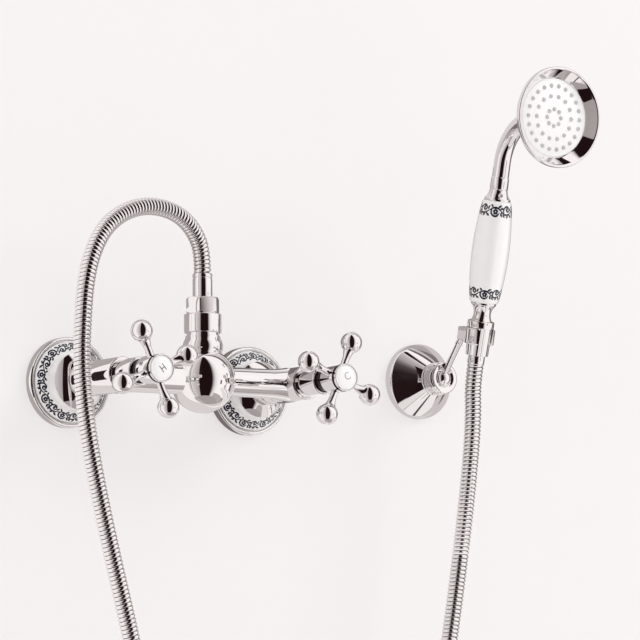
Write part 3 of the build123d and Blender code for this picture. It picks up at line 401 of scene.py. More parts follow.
def scroll_band(name, origin, axis, outline, repeats, height, first_angle=0.0):
    """The scroll laid round a turned surface; the outline, (radius, station), crosses the band's middle."""
    side = side_of(axis)
    over = axis.cross(side)
    runs = runs_of(outline)
    radii, stations = zip(*outline)
    mesh = scroll_flat.copy()
    step = 2 * pi / repeats
    for vertex in mesh.vertices:
        x, y, z = vertex.co / MM
        run = runs[-1] / 2 + y * height / scroll_height
        here, beyond = (Vector((np.interp(mark, runs, radii), np.interp(mark, runs, stations)))
                        for mark in (run - paint_span, run + paint_span))
        normal = Vector((beyond.y - here.y, here.x - beyond.x)).normalized()
        if normal.x < 0:
            normal = -normal
        spot = (here + beyond) / 2 + normal * (paint_lift + z * paint_depth)
        angle = first_angle + step * x / scroll_length
        vertex.co = origin + (side * cos(angle) + over * sin(angle)) * (spot.x * MM) + axis * (spot.y * MM)
    motif = bpy.data.objects.new(f"{name}_1", mesh)
    scene.collection.objects.link(motif)
    copies = [copy_of(motif, f"{name}_{k + 1}", turned_about(origin, axis, step * k))
              for k in range(1, repeats)]
    return smooth_and_settle(join([motif, *copies], name), smooth=60)


print_proud, print_sunk = 0.09, -0.05


def letter(name, sign, foot, outline, wide, high, turn, raised):
    """A printed letter that follows the domed cap; the outline is the cap's, (radius, station)."""
    deselect()
    bpy.ops.object.text_add(location=(0, 0, 0))
    piece = bpy.context.object
    piece.name = name
    piece.data.body = sign
    piece.data.extrude = 0.04
    bpy.ops.object.convert(target="MESH")
    piece = bpy.context.object
    bpy.ops.object.mode_set(mode="EDIT")
    bpy.ops.mesh.select_all(action="SELECT")
    bpy.ops.mesh.quads_convert_to_tris()
    bpy.ops.mesh.subdivide(number_cuts=2)
    bpy.ops.object.mode_set(mode="OBJECT")
    xs, ys, zs = ([vertex.co[axis] for vertex in piece.data.vertices] for axis in range(3))
    radii, stations = zip(*reversed(outline))
    for vertex in piece.data.vertices:
        x = ((vertex.co.x - min(xs)) / (max(xs) - min(xs)) - 0.5) * wide
        y = ((vertex.co.y - min(ys)) / (max(ys) - min(ys)) - 0.5) * high
        x, y = x * cos(turn) - y * sin(turn), x * sin(turn) + y * cos(turn) + raised
        station = float(np.interp(sqrt(x * x + y * y), radii, stations))
        station += print_proud if vertex.co.z > 0 else print_sunk
        vertex.co = foot + across * (x * MM) + up * (y * MM) + out * (station * MM)
    return smooth_and_settle(piece, smooth=30)


# Hose: the route's points are the control points of one smooth spline
hose_points = [
    (0, -68, 82.7), (0, -68, 100), (-9, -71, 115), (-23, -75, 125), (-40, -78, 130), (-61, -82, 130),
    (-82, -86, 123), (-100, -90, 110), (-113, -94, 91), (-121, -97, 67), (-125, -100, 40), (-127, -101, 9),
    (-125, -101, -23), (-120, -101, -56), (-112, -101, -93), (-101, -100, -135), (-88, -99, -181),
    (-74, -97, -233), (-61, -94, -289), (-47, -91, -345), (-30, -88, -400), (-8, -85, -451), (21, -82, -489),
    (59, -79, -511), (100, -77, -511), (137, -75, -490), (164, -73, -453), (183, -72, -404), (197, -71, -350),
    (209, -71, -293), (220, -71, -237), (230, -72, -183), (238, -73, -132), (244, -75, -84), (248, -77, -41),
    (249, -78, -14), (248.3, -78.5, 5.05), (248.3, -82.98, 22.79),
]
route = bpy.data.curves.new("hose_route", "CURVE")
route.dimensions = "3D"
spline = route.splines.new("NURBS")
spline.points.add(len(hose_points) - 1)
for point, place in zip(spline.points, hose_points):
    point.co = (*(Vector(place) * MM), 1)
spline.order_u = 3
spline.use_endpoint_u = True
route.resolution_u = 32
route_object = bpy.data.objects.new("hose_route", route)
scene.collection.objects.link(route_object)
route_mesh = bpy.data.meshes.new_from_object(route_object)
route_line = np.array([vertex.co for vertex in route_mesh.vertices])
bpy.data.objects.remove(route_object)
bpy.data.meshes.remove(route_mesh)
steps_along = np.linalg.norm(np.diff(route_line, axis=0), axis=1)
distance_along = np.concatenate([[0], np.cumsum(steps_along)])
hose_length = float(distance_along[-1])

hose_sides = 28
rib_rings = 6
rib_count = 450
rib_radii = [5.7, 6.4, 6.62, 6.68, 6.62, 6.4]
rib_pitch = hose_length / rib_count


def route_at(distance):
    """The place on the route at a distance from its start."""
    return Vector([np.interp(distance, distance_along, route_line[:, axis]) for axis in range(3)])


def hose_frames():
    """The hose's centre and two side directions that turn no more than it does, at every ring."""
    frames, side = [], Vector((1, 0, 0))
    for ring in range(rib_rings * (rib_count + 1) + 1):
        here = min(ring * rib_pitch / rib_rings, hose_length)
        tangent = (route_at(min(here + MM, hose_length)) - route_at(max(here - MM, 0))).normalized()
        side = (side - tangent * side.dot(tangent)).normalized()
        frames.append((route_at(here), side.copy(), tangent.cross(side)))
    return frames


ring_frames = hose_frames()


def hose_stretch(name, first_rib, last_rib):
    """A length of the hose: one rounded rib that winds round it, from rib to rib."""
    vertices, faces, gaps, numbers = [], [], [], {}
    total = rib_rings * rib_count

    def corner(ring, side):
        if side == hose_sides:
            ring, side = ring + rib_rings, 0
        if (ring, side) not in numbers:
            place = min(max(ring + rib_rings * (side / hose_sides - 0.5), 0), total)
            here, beyond = ring_frames[int(place)], ring_frames[int(place) + 1]
            centre, one, two = (a.lerp(b, place % 1) for a, b in zip(here, beyond))
            radius, angle = rib_radii[ring % rib_rings] * MM, 2 * pi * side / hose_sides
            numbers[ring, side] = len(vertices)
            vertices.append(centre + one * (radius * cos(angle)) + two * (radius * sin(angle)))
            gaps.append(float(ring % rib_rings == 0))
        return numbers[ring, side]

    for ring in range(first_rib * rib_rings, last_rib * rib_rings):
        for side in range(hose_sides):
            faces.append((corner(ring, side), corner(ring, side + 1), corner(ring + 1, side + 1),
                          corner(ring + 1, side)))
    mesh = bpy.data.meshes.new(name)
    mesh.from_pydata(vertices, [], faces)
    mesh.attributes.new("gap", "FLOAT", "POINT").data.foreach_set("value", gaps)
    mesh.update()
    stretch = bpy.data.objects.new(name, mesh)
    scene.collection.objects.link(stretch)
    return smooth_and_settle(stretch, smooth=60)


def hose_path(first_rib, last_rib):
    """The spline's own points between two ribs."""
    start, end = first_rib * rib_pitch, last_rib * rib_pitch
    inner = [Vector(point) for point, distance in zip(route_line, distance_along) if start < distance < end]
    return [route_at(start), *inner, route_at(end)]


# The hose is parted at ribs into stretches; only the first is attached to a body, the mixer
rise_rib, tilt_rib, lift_rib = 350, 412, 435
rib_marks = [0, rise_rib, tilt_rib, lift_rib, rib_count]
hose_names = ["hose_run", "hose_rise", "hose_tilt_stretch", "hose_lift_stretch"]
hose_pieces = {}
for name, first_rib, last_rib in zip(hose_names, rib_marks, rib_marks[1:]):
    hose_pieces[name] = hose_stretch(name, first_rib, last_rib)
    hose_pieces[name].data.materials.append(hose_chrome)
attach(hose_pieces["hose_run"], "mixer")
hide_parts("hose_sheath", "hose_liner")
for name, first_rib, last_rib, below, above in [
    ("hose_rise", rise_rib, tilt_rib, "mixer", "socket"),
    ("hose_tilt_stretch", tilt_rib, lift_rib, "socket", "holder"),
    ("hose_lift_stretch", lift_rib, rib_count, "holder", "hose_end"),
]:
    start, end = route_at((first_rib + 1) * rib_pitch), route_at((last_rib - 1) * rib_pitch)
    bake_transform(hose_pieces[name], below, above, start=tuple(start), end=tuple(end))


# Inlet sides
for side, foot in inlets.items():
    flange = lathe(f"flange_cup_{side}", foot, out, [
        (35, 0), (35, 6.6), *bow((35, 6.6), (33.6, 8), (32.2, 6.6)), (32.2, 6), (12, 6), (12, 4), (33, 4),
        (33, 0),
    ], steps=128, edge=0.15)
    dress(flange, "mixer", chrome, "chrome", f"flange_{side}")
    bell_front = [(31.2, 8.2), *bow((31.2, 8.2), (26.4, 11.6), (22.2, 14))]
    bell = lathe(f"porcelain_bell_{side}", foot, out, [
        (31.2, 6), *bell_front,
        *bow((22.2, 14), (20.45, 17.95), (19.7, 21.9)), (17.2, 21.9), (17.2, 14), (29.6, 6),
    ], steps=128, edge=0.4)
    dress(bell, "mixer", porcelain, "porcelain", f"flange_ring_{side}")
    band = scroll_band(f"scroll_band_{side}", foot, out, along_outline(bell_front, 0.06, 0.84, 12), repeats=9,
                       height=7.6)
    dress(band, "mixer", scroll_blue, "porcelain")
    lock = lathe(f"lock_collar_{side}", foot, out, [
        (20, 21.9), (22, 21.9), (22.4, 22.2), (13.4, 27.9), (9.7, 27.9), (9.7, 26.2), (11.7, 26.2),
        (15.4, 23.2), (15.4, 19.7), (17.1, 19.7), (17.1, 21.9),
    ], edge=0.25)
    dress(lock, "mixer", chrome, "chrome", f"flange_collar_{side}")
    nut = lathe(f"union_nut_{side}", foot, out, [
        (9.5, 28.6), (12.75, 28.6), (13.35, 29.2), (13.35, 49.9), (13.05, 50.2), (11.5, 50.2), (11.5, 31),
        (9.5, 31),
    ], edge=0.2)
    dress(nut, "mixer", chrome, "chrome", "union_nuts")
    bonnet = lathe(f"bonnet_sleeve_{side}", foot, out, [
        (8.8, 88.3), (11, 88.3), (11, 112.2), (10.2, 113), (8.8, 113),
    ], edge=0.25)
    dress(bonnet, "mixer", chrome, "chrome", f"bonnet_{side}")

# Body: tees, cross tube, ball and vase in one casting
body = lathe("body_casting", body_centre, up, [
    (0, -25.2), *bow((0, -25.2), (25.2, 0), (14.35, 20.7), 28),
    *bow((14.35, 20.7), (15.6, 25.2), (14.6, 30.4), 8), (13.5, 32.8), (13.35, 34.3), (12.4, 34.3),
    (12.4, 43), (0, 43),
], steps=128, edge=0, settle=False)
tube = lathe("cross_tube", body_centre, across, [
    (0, -82.5), (13.1, -82.5), (13.1, -75.8), *bow((13.1, -75.8), (11.825, -66.9), (11.4, -60.15), 6),
    (11.4, 60.15), *bow((11.4, 60.15), (11.825, 66.9), (13.1, 75.8), 6), (13.1, 82.5),
    (0, 82.5),
], edge=0, settle=False)
combine(body, tube, "UNION")
for side, foot in inlets.items():
    tee = lathe(f"tee_{side}", foot, out, [
        (0, 36), (11.4, 36), (11.4, 50.5), (12.75, 50.5), (13.35, 51.1), (13.35, 86.8),
        *bow((13.35, 86.8), (13, 87.65), (12.15, 88), 4), (0, 88),
    ], edge=0, settle=False)
    combine(body, tee, "UNION")
smooth_and_settle(body, smooth=30)
dress(body, "mixer", chrome, "chrome", "mixer_body")

# Handles. Each letter has its width, height, lean in degrees, rise above the cap's centre and ink.
letters = {"hot": ("H", 3.8, 5.9, 40, 0, letter_grey), "cold": ("C", 5, 6, 25, 1, letter_pale)}
arm_station = 133
for side, foot in inlets.items():
    handle, turn = f"{side}_handle", radians(handle_turns[side])
    hub = lathe(f"{side}_hub_sleeve", foot, out, [
        (3.9, 121), (9.3, 121), (10.7, 122.4), (10.7, 139.4), (10, 139.8), (10, 140.7), (10.7, 141),
        (10.7, 142.8), (10.3, 143.5), (9.7, 143.5), (9.7, 141.6), (3.9, 141.6),
    ], edge=0.2)
    dress(hub, handle, chrome, "chrome", f"{side}_hub")
    seat = lathe(f"{side}_cap_seat", foot, out, [
        (10.4, 138.6), (10.74, 138.6), (10.74, 139.5), (10.2, 139.9), (10.2, 140.7), (10.74, 140.95),
        (10.4, 140.95),
    ], edge=0.05)
    dress(seat, handle, shell_maroon, "chrome")
    centre = foot + out * arm_station * MM
    arm = lathe(f"{side}_arm_1", centre, up, [
        (0, 8.4), (2.8, 8.4), (2.8, 13), *bow((2.8, 13), (3, 18.5), (4.4, 23.262), 6),
        *bow((4.4, 23.262), (8.3, 30.3), (0, 38.6), 16),
    ], steps=64, edge=0)
    arm.data.transform(turned_about(centre, out, -turn))
    quarter_turns = [turned_about(centre, out, -k * pi / 2) for k in (1, 2, 3)]
    more_arms = [copy_of(arm, f"{side}_arm_{k}", quarter) for k, quarter in enumerate(quarter_turns, 2)]
    for arm in (arm, *more_arms):
        dress(arm, handle, chrome, "chrome", f"{side}_arms")
    dome = [(9.6, 142.5), (9.2, 143), (8.6, 143.05), (8.35, 142.75), (8.1, 143.1),
            *bow((8.1, 143.1), (4.4, 144), (0, 144.35), 8)]
    cap = lathe(f"{side}_cap", foot, out, [(0, 141.6), (9.6, 141.6), *dome], edge=0.15)
    dress(cap, handle, index_white, "white_plastic", f"{side}_index_cap")
    sign, wide, high, lean_over, raised, ink = letters[side]
    printed = letter(f"{side}_letter", sign, foot, dome, wide, high, radians(lean_over), raised)
    dress(printed, handle, ink, "plain_plastic")

# Outlet stack
outlet_nut = lathe("outlet_nut_sleeve", body_centre, up, [
    (12.5, 36.5), (13.75, 36.5), (14.35, 37.1), (14.35, 50.7), (13.75, 51.3), (10.6, 51.3), (10.6, 47.3),
    (12.5, 47.3),
], edge=0.2)
dress(outlet_nut, "mixer", chrome, "chrome", "outlet_nut")
deselect()
nut_corner_r, nut_height, nut_station, nut_turn = 13.51, 12.7, 57.65, radians(48)
bpy.ops.mesh.primitive_cylinder_add(vertices=6, radius=nut_corner_r * MM, depth=nut_height * MM,
                                    location=body_centre + up * nut_station * MM)
hose_nut = bpy.context.object
hose_nut.name = hose_nut.data.name = "hose_nut_hexagon"
corner_now = hose_nut.data.vertices[0].co
bpy.ops.transform.rotate(value=atan2(corner_now.y, corner_now.x) - nut_turn, orient_axis="Z",
                         center_override=body_centre)
bpy.ops.object.transform_apply(location=True, rotation=True, scale=True)
combine(hose_nut, lathe("corner_chamfer", body_centre, up, [
    (0, 50.3), (10.7, 50.3), (14.6, 54.2), (14.6, 61.1), (10.7, 65), (0, 65),
], edge=0, settle=False), "INTERSECT")
combine(hose_nut, lathe("nut_bore", body_centre, up, [
    (0, 50), (10.6, 50), (10.6, 61.8), (6.8, 61.8), (6.8, 65), (0, 65),
], edge=0, settle=False), "DIFFERENCE")
smooth_and_settle(hose_nut, edge=0.2, smooth=25)
dress(hose_nut, "mixer", chrome, "chrome", "hose_nut")
ferrule = lathe("hose_ferrule_sleeve", body_centre, up, [
    (4.6, 61), (9.5, 61), (9.5, 61.8), (6.7, 61.8), (6.7, 64.3), (7.65, 64.3), (7.65, 78.6), (7.25, 78.9),
    (7.25, 79.5), (7.65, 79.8), (7.65, 81.9), (7.2, 82.7), (4.6, 82.7),
], edge=0.12)
dress(ferrule, "mixer", chrome, "chrome", "hose_ferrule")

# Wall bracket
cone = lathe("bracket_cone_cover", bracket_foot, out, [
    (30.5, 0), (30.5, 6), (28.5, 8.5), (13.4, 26.4), (9.5, 26.4), (9.5, 32.2), (5.5, 32.2), (5.5, 26.4),
    (1.5, 26.4), (1.5, 24.4), (9.5, 24.4), (24.5, 6), (27.1, 4), (27.1, 0),
], steps=128, edge=0.3)
dress(cone, "mixer", chrome, "chrome", "bracket_cone")
knurl_rows, knurl_row, knurl_r, knurl_taper, knurl_foot, knurl_top = 6, 1.033, 13.18, 0.33, 30.22, 36.42
knurl = [(knurl_r - knurl_taper * k / knurl_rows, knurl_foot + knurl_row * k) for k in range(knurl_rows + 1)]
socket = lathe("knurled_socket_collar", bracket_foot, out, [
    (9.7, 26.55), (13.4, 26.55), (13.4, 28.24), (12.95, 28.81), (12.95, 29.65), *knurl, (12.4, 36.98),
    (12.4, 37.69), (12.85, 38.25), (12.7, 39.4), (12.1, 40.3), (11.3, 40.65), (8.9, 40.65), (8.5, 40.4),
    (6.8, 39.04), (7.1, 37), (7.1, 33.4), (9.7, 32.4),
], edge=0, settle=False)
bpy.ops.object.mode_set(mode="EDIT")
bpy.ops.mesh.select_all(action="DESELECT")
for face in bmesh.from_edit_mesh(socket.data).faces:
    middle = socket.matrix_world @ face.calc_center_median() - bracket_foot
    station, radius = -middle.y / MM, sqrt(middle.x ** 2 + middle.z ** 2) / MM
    face.select = knurl_foot < station < knurl_top and radius > 12
bmesh.update_edit_mesh(socket.data)
bpy.ops.mesh.inset(thickness=0.24 * MM, depth=0.3 * MM, use_individual=True)
bpy.ops.object.mode_set(mode="OBJECT")
socket_slot = block("socket_slot", bracket_foot, across, up, out, (6, 20, 10), middle=(0, 10, 40.5))
combine(socket, socket_slot, "DIFFERENCE")
smooth_and_settle(socket, smooth=35)
dress(socket, "socket", chrome, "chrome", "socket_collar")
rod_axis = (rod_end - joint_ball).normalized()
rod = lathe("ball_and_rod", joint_ball, rod_axis, [
    (0, -7), *bow((0, -7), (7, 0), (2.5, 6.538), 20), (2.5, 34), (2.9, 34.4), (2.9, 36.6), (2.5, 37),
    (2.5, 44.9), (0, 44.9),
], steps=64, edge=0)
dress(rod, "holder", chrome, "chrome", "ball_rod")

# Cradle: a ring on the cone nut, open in front, with the block that holds the rod
cradle = lathe("cradle_fork", handset_foot, along_handset, [
    (0, -6.5), (11.3, -6.5), (12.3, -5.5), (12.3, 5.5), (11.3, 6.5), (0, 6.5),
], edge=0, settle=False)
combine(cradle, block("cradle_block", handset_foot, across, to_wall, along_handset, (9, 24.6, 11),
                      middle=(0, 12.3, -1.2), edge=1.2, segments=4), "UNION")
combine(cradle, lathe("cradle_seat", handset_foot, along_handset, [
    (0, -15.5), (9.4, -15.5), (10.25, 6.8), (0, 6.8),
], edge=0, settle=False), "DIFFERENCE")
combine(cradle, block("cradle_mouth", handset_foot, across, to_wall, along_handset, (14, 24.6, 31),
                      middle=(0, -12.3, 0)), "DIFFERENCE")
combine(cradle, lathe("rod_hole", joint_ball, rod_axis, [
    (0, 20), (2.54, 20), (2.54, 44.9), (0, 44.9),
], steps=48, edge=0, settle=False), "DIFFERENCE")
smooth_and_settle(cradle, edge=0.3, smooth=30)
dress(cradle, "holder", chrome, "chrome", "cradle")

# Upper hose end and handset
end_ferrule = lathe("upper_ferrule", handset_foot, along_handset, [
    (4.6, -22.5), (6.6, -22.5), (6.9, -22.1), (6.9, -15.8), (6, -15.8), (6, -12), (8.2, -12), (8.2, -10.86),
    (4.6, -10.86),
], edge=0.12)
dress(end_ferrule, "hose_end", chrome, "chrome", "cone_ferrule")
cone_nut = lathe("cone_nut_sleeve", handset_foot, along_handset, [
    (6.1, -15.5), (9.1, -15.5), (9.95, 6.8), (10.8, 6.8), (10.8, 11.8), (10.2, 12.4), (8.43, 12.4),
    (8.43, -12), (6.1, -12),
], edge=0.25)
dress(cone_nut, "handset", chrome, "chrome", "cone_nut")
low_collar = lathe("lower_grip_collar", handset_foot, along_handset, [
    (5.1, 12.5), (8.6, 12.5), *bow((8.6, 12.5), (6.9, 17.5), (10.2, 25.7), 12), (10.2, 27.3), (5.1, 27.3),
], edge=0.25)
dress(low_collar, "handset", chrome, "chrome", "lower_collar")
grip_side = [(11.6, 28.1), *bow((11.6, 28.1), (15, 68.45), (11.6, 108.8), 24)]
grip = lathe("porcelain_grip", handset_foot, along_handset, [
    (6.5, 27.3), (10.8, 27.3), *grip_side, (10.8, 109.6), (6.5, 109.6),
], edge=0.3)
dress(grip, "handset", porcelain, "porcelain", "grip")
for name, first, last, height in (("grip_scroll_low", 0.03, 0.15, 9), ("grip_scroll_high", 0.85, 0.985, 10)):
    across_band = along_outline(grip_side, first, last, 10)
    band = scroll_band(name, handset_foot, along_handset, across_band, repeats=4, height=height,
                       first_angle=0.5)
    dress(band, "handset", scroll_blue, "porcelain")
high_collar = lathe("upper_grip_collar", handset_foot, along_handset, [
    (5.85, 109.6), (10.5, 109.6), (10.5, 111.3), *bow((10.5, 111.3), (8.3, 114.2), (7.3, 118.2), 8),
    (7, 118.5), (7, 119), (7.3, 119.3), (7.1, 127.6), (6.9, 128.8), (5.85, 128.8),
], edge=0.25)
dress(high_collar, "handset", chrome, "chrome", "upper_collar")
deselect()
neck_facing = along_handset.to_track_quat("Z", "Y").to_euler()
bpy.ops.mesh.primitive_circle_add(vertices=64, radius=5.75 * MM, rotation=neck_facing,
                                  location=handset_foot + along_handset * neck_foot * MM)
neck = bpy.context.object
neck.name = neck.data.name = "bent_neck"
bpy.ops.object.mode_set(mode="EDIT")
bpy.ops.mesh.select_all(action="SELECT")
straight_run = along_handset * (bend_station - neck_foot) * MM
bpy.ops.mesh.extrude_region_move(TRANSFORM_OT_translate={"value": straight_run})
bpy.ops.mesh.spin(steps=40, angle=-bend_turn, center=bend_centre, axis=across)
bpy.ops.mesh.extrude_region_move(TRANSFORM_OT_translate={"value": leaving * neck_tail * MM})
bpy.ops.object.mode_set(mode="OBJECT")
wall_of_neck = neck.modifiers.new("wall", "SOLIDIFY")
wall_of_neck.thickness = 1 * MM
bpy.ops.object.modifier_apply(modifier="wall")
bpy.ops.object.mode_set(mode="EDIT")
bpy.ops.mesh.select_all(action="SELECT")
bpy.ops.mesh.normals_make_consistent(inside=False)
bpy.ops.object.mode_set(mode="OBJECT")
smooth_and_settle(neck)
dress(neck, "handset", chrome, "chrome", "neck")
bezel = [(37.8, 0.3), *bow((37.8, 0.3), (34.3, 4.3), (30.9, 7.7))]
head = lathe("head_cup", head_foot, backwards, [
    (37.8, 0.3), (38.3, 0), (38.8, 0), (39.34, 0.26), (39.6, 0.9), (39.6, 3.5), (38.4, 4.6),
    *bow((38.4, 4.6), (33.2, 10.5), (23.5, 18.5), 12), *bow((23.5, 18.5), (13.8, 23.85), (8.5, 27), 8),
    (8.5, 36), (5.85, 36), (5.85, 31), (4.75, 31), (4.75, 24.8), (21.3, 16.3), (28.1, 12), (30.9, 12),
    (30.9, 7.7), *bezel[-2:0:-1],
], steps=128, edge=0.2)
dress(head, "handset", chrome, "chrome", "head_shell")
plate = lathe("spray_face", head_foot, backwards, [
    (0, 7.7), (30.8, 7.7), (30.8, 9.5), (0, 9.5),
], steps=128, edge=0.3)
dress(plate, "handset", spray_white, "white_plastic", "spray_plate")
nozzle = lathe("nozzle", head_foot, backwards, [
    (0, 6.8), (0.55, 6.8), (0.6, 6.3), (0.95, 6.3), (1.25, 6.8), (1.55, 7.4), (1.9, 7.8), (0, 7.8),
], steps=20, edge=0)
nozzles = []
head_over = backwards.cross(across)
for count, ring_radius in ((8, 6.65), (14, 16.9), (22, 25)):
    for k in range(count):
        angle = 2 * pi * k / count
        offset = (across * cos(angle) + head_over * sin(angle)) * ring_radius * MM
        nozzles.append(copy_of(nozzle, f"nozzle_{count}_{k}", Matrix.Translation(offset)))
bpy.data.objects.remove(nozzle)
nozzles = join(nozzles, "nozzles")
dress(nozzles, "handset", nozzle_grey, "seal_rubber", "nozzle_mat")

# Nodes that are shown as they are
node_finishes = {part["node"]: slot_finishes[part["material_slot"]] for part in frame["record"]["subparts"]}
node_finishes["cartridge_shells"] = shell_maroon
for name, node in frame["nodes"].items():
    if not node.hide_render:
        node.data.materials.clear()
        node.data.materials.append(node_finishes[name])

# Route points of the hose up to the rise and the tilt, worked out and not kept
[tuple(p) for p in hose_path(0, rise_rib)]
tuple(route_at(rise_rib * rib_pitch))
[tuple(p) for p in hose_path(rise_rib, tilt_rib)]

# Studio
wall_glow, vein_share = 0.65, 0.97


def studio_material(name, tone, lay_out):
    """A material of the studio; wall_nodes or card_nodes lays out its nodes."""
    material = bpy.data.materials.new(name)
    material.use_nodes = True
    lay_out(material.node_tree.nodes, material.node_tree.links, tone)
    return material


def front_only(nodes, links, surface):
    """Shows a surface from its front alone; its back is clear."""
    geometry = nodes.new("ShaderNodeNewGeometry")
    clear = nodes.new("ShaderNodeBsdfTransparent")
    seen = nodes.new("ShaderNodeMixShader")
    links.new(geometry.outputs["Backfacing"], seen.inputs["Fac"])
    links.new(surface, seen.inputs[1])
    links.new(clear.outputs["BSDF"], seen.inputs[2])
    links.new(seen.outputs["Shader"], nodes["Material Output"].inputs["Surface"])


def wall_nodes(nodes, links, colour):
    """Pale stone with faint veins; the camera sees it partly as its own glow, so that it stays pale."""
    shader = nodes["Principled BSDF"]
    shader.inputs["Roughness"].default_value = 0.9
    shader.inputs["Specular IOR Level"].default_value = 0
    place = nodes.new("ShaderNodeTexCoord")
    veins = nodes.new("ShaderNodeTexNoise")
    veins.inputs["Scale"].default_value = 3
    veins.inputs["Detail"].default_value = 6
    links.new(place.outputs["Object"], veins.inputs["Vector"])
    vein = tuple(value * vein_share for value in colour)
    stone = tone_between(nodes, links, veins.outputs["Fac"], colour, vein)
    links.new(stone, shader.inputs["Base Color"])
    glow = nodes.new("ShaderNodeEmission")
    glow.inputs["Strength"].default_value = 1
    links.new(stone, glow.inputs["Color"])
    rays = nodes.new("ShaderNodeLightPath")
    share = nodes.new("ShaderNodeMath")
    share.operation = "MULTIPLY"
    share.inputs[1].default_value = wall_glow
    links.new(rays.outputs["Is Camera Ray"], share.inputs[0])
    mixed = nodes.new("ShaderNodeMixShader")
    links.new(share.outputs["Value"], mixed.inputs["Fac"])
    links.new(shader.outputs["BSDF"], mixed.inputs[1])
    links.new(glow.outputs["Emission"], mixed.inputs[2])
    front_only(nodes, links, mixed.outputs["Shader"])


def card_nodes(nodes, links, tones):
    """A matt card that gloss alone sees; its brightness is told at every corner and its tone follows that."""
    level = nodes.new("ShaderNodeAttribute")
    level.attribute_name = "level"
    ramp = nodes.new("ShaderNodeValToRGB")
    stops = ramp.color_ramp.elements
    for place, _ in tones[1:-1]:
        stops.new(place)
    for stop, (place, tone) in zip(stops, tones):
        stop.position = place
        stop.color = (*tone, 1)
    links.new(level.outputs["Fac"], ramp.inputs["Fac"])
    glow = nodes.new("ShaderNodeEmission")
    links.new(ramp.outputs["Color"], glow.inputs["Color"])
    front_only(nodes, links, glow.outputs["Emission"])


wall_material = studio_material("wall_stone", (0.935, 0.905, 0.9), wall_nodes)
floor_material = studio_material("pale_floor", (0.92, 0.895, 0.89), wall_nodes)
card_material = studio_material("studio_card", [
    (0, (0.012, 0.0045, 0.005)), (0.01, (0.016, 0.007, 0.0075)), (0.4, (0.42, 0.38, 0.376)),
    (1, (1.03, 0.99, 0.985)),
], card_nodes)

deselect()
wall_y, tones_y, bracket_wall_y, floor_z = 0.0004, 0.0002, 0.0001, -0.62
mixer_middle = (0.08, -0.08, 0.02)
bpy.ops.mesh.primitive_plane_add(size=4, location=(0.1, wall_y, 0.9), rotation=(pi / 2, 0, 0))
wall = bpy.context.object
wall.name = "wall"
wall.data.materials.append(wall_material)
bpy.ops.mesh.primitive_plane_add(size=8, location=(0, 0, floor_z))
floor = bpy.context.object
floor.name = "floor"
floor.data.materials.append(floor_material)


def upright_card(x, front, back, low, high):
    """The four corners of a card that stands at right angles to the wall."""
    return [(x, front, low), (x, back, low), (x, back, high), (x, front, high)]


def level_card(left, right, front, back, z):
    """The four corners of a card that lies level."""
    return [(left, front, z), (right, front, z), (right, back, z), (left, back, z)]


def wall_card(left, right, low, high, y):
    """The four corners of a card that hangs on the wall."""
    return [(left, y, low), (right, y, low), (right, y, high), (left, y, high)]


def card(name, quads, faces_to=mixer_middle):
    """Cards that gloss alone sees, from the side of the place they face.

    Each is its four corners with their brightness.
    """
    mesh = bpy.data.meshes.new(name)
    corners, faces = [], []
    for quad, _ in quads:
        one, two, three, four = (Vector(corner) for corner in quad)
        first = len(corners)
        faces.append((first, first + 1, first + 2, first + 3))
        if (two - one).cross(four - one).dot(Vector(faces_to) - one) < 0:
            faces[-1] = faces[-1][::-1]
        corners += quad
    mesh.from_pydata(corners, [], faces)
    level = mesh.attributes.new("level", "FLOAT", "POINT")
    level.data.foreach_set("value", [value for _, values in quads for value in values])
    hung = bpy.data.objects.new(name, mesh)
    scene.collection.objects.link(hung)
    mesh.materials.append(card_material)
    hung.visible_camera = hung.visible_diffuse = hung.visible_shadow = hung.visible_transmission = False


def round_card(name, stops, low, high, distance):
    """A curved card; the stops are azimuths in degrees with their brightness."""
    azimuths = sorted({stop for stop, _ in stops} | set(range(int(stops[0][0]) + 1, int(stops[-1][0]), 4)))
    levels = [float(np.interp(azimuth, [a for a, _ in stops], [v for _, v in stops])) for azimuth in azimuths]
    places = [(mixer_middle[0] + distance * sin(radians(a)), mixer_middle[1] - distance * cos(radians(a)))
              for a in azimuths]
    card(name, [
        ([(*here, low), (*there, low), (*there, high), (*here, high)], [one, other, other, one])
        for here, there, one, other in zip(places, places[1:], levels, levels[1:])])


room_low, room_high = -1.76, 14
room_r, shelf_r, skirting_r = 1.1, 1.05, 1.08
round_card("room", [
    (-94, 1.0), (-91, 0.97), (-84, 0.82), (-77, 0.75), (-70, 0.62), (-64, 0.56), (-57, 0.46), (-50, 0.4),
    (-48.5, 0.005), (-4, 0.005), (0, 0.27), (7, 0.72), (13, 0.86), (21, 0.98), (40, 1.05), (79, 1.05),
    (81, 0.12), (94.2, 0.12),
], room_low, room_high, room_r)
round_card("dark_shelf", [(29, 0.01), (34.5, 0.01)], -0.242, -0.018, shelf_r)
round_card("skirting", [(14, 0.45), (90, 0.45)], room_low, -1.05, skirting_r)
room_reach = 1.3
card("room_floor", [(level_card(-room_reach, room_reach, -room_reach, 0, room_low), [0.38] * 4)])
# The wall as gloss sees it, with painted shade: grey zones behind and beside the mixer and the bracket, where
# the wall lies in their shadow
wall_marks = [-2, -0.25, -0.232, -0.12, 0.046, 0.13, 0.165, 0.296, 2.2]
shade_at_pipes = [0.95, 0.3, 0.95, 0.42, 0.18, 0.95, 0.42, 0.2]
away = [0.95, 0.95, 0.95, 0.7, 0.7, 0.95, 0.7, 0.6]
wall_quads = []
for low, high, levels in ((room_low, -0.035, away), (-0.035, 0.2, shade_at_pipes), (0.2, room_high, away)):
    for left, right, value in zip(wall_marks, wall_marks[1:], levels):
        wall_quads.append((wall_card(left, right, low, high, tones_y), [value] * 4))
card("wall_tones", wall_quads)

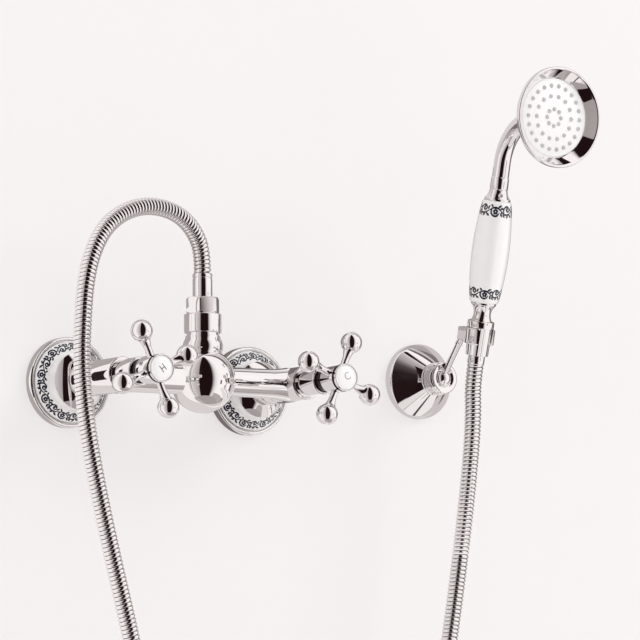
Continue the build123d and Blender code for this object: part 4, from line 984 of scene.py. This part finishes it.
# Small cards near the bracket, the head and the hot flange, for what their chrome shows in the photograph
near_bracket, bracket_face = 0.205, (0.248, -0.02, 0.015)
screen_steps = [(-0.036, 0.01), (0.03, 0.012), (0.05, 0.08), (0.08, 0.4)]
card("bracket_screen", [
    (upright_card(near_bracket, -0.046, -0.012, low, high), [one, one, other, other])
    for (low, one), (high, other) in zip(screen_steps, screen_steps[1:])
], faces_to=bracket_face)
card("bracket_shade", [(upright_card(near_bracket, -0.11, -0.012, 0.08, 0.24), [0.4, 0.4, 0.75, 0.75])],
     faces_to=bracket_face)
card("head_screen", [(upright_card(0.215, -0.264, -0.214, 0.165, 0.252), [0.3, 0.42, 0.46, 0.34])],
     faces_to=(0.283, -0.196, 0.207))
card("flange_shade", [(upright_card(-0.135, -0.034, -0.001, -0.024, 0.024), [0.02] * 4)],
     faces_to=(-half_pitch, -0.02, 0))
tray_marks = [0.15, 0.206, 0.2095, 0.268, 0.282, 0.38]
card("bracket_tray", [
    (level_card(left, right, -0.3, -0.001, -0.13), [value] * 4)
    for left, right, value in zip(tray_marks, tray_marks[1:], [0.8, 0.25, 0.9, 0.08, 0.9])])
# Painted shade of the wall behind the bracket, as gloss sees it
card("bracket_wall", [(wall_card(0.19, 0.31, -0.035, 0.065, bracket_wall_y), [0.6] * 4)])
floor.visible_glossy = False

# The world is as bright to the camera, gloss and glass as near_white, and to matt surfaces as near_matt
near_white, near_matt = 1.0, 0.68
world = bpy.data.worlds.new("studio")
scene.world = world
world.use_nodes = True
nodes, links = world.node_tree.nodes, world.node_tree.links
air = nodes["Background"]
air.inputs["Color"].default_value = (1, 0.985, 0.985, 1)
rays = nodes.new("ShaderNodeLightPath")
shown = nodes.new("ShaderNodeMath")
shown.operation = "MAXIMUM"
links.new(rays.outputs["Is Camera Ray"], shown.inputs[0])
links.new(rays.outputs["Is Glossy Ray"], shown.inputs[1])
clear = nodes.new("ShaderNodeMath")
clear.operation = "MAXIMUM"
links.new(shown.outputs["Value"], clear.inputs[0])
links.new(rays.outputs["Is Transmission Ray"], clear.inputs[1])
strength = nodes.new("ShaderNodeMapRange")
strength.inputs["To Min"].default_value = near_matt
strength.inputs["To Max"].default_value = near_white
links.new(clear.outputs["Value"], strength.inputs["Value"])
links.new(strength.outputs["Result"], air.inputs["Strength"])

lamp_target = Vector((0.08, -0.06, 0))


def lamp(name, place, size, power):
    """A soft square lamp that faces the mixer."""
    data = bpy.data.lights.new(name, "AREA")
    data.size, data.energy = size, power
    light = bpy.data.objects.new(name, data)
    scene.collection.objects.link(light)
    light.location = place
    light.rotation_euler = (lamp_target - Vector(place)).to_track_quat("-Z", "Y").to_euler()


lamp("key", (1.9, -2.0, 1.5), 1.5, 34)
lamp("fill", (-2.2, -1.8, 1.0), 1.6, 12)
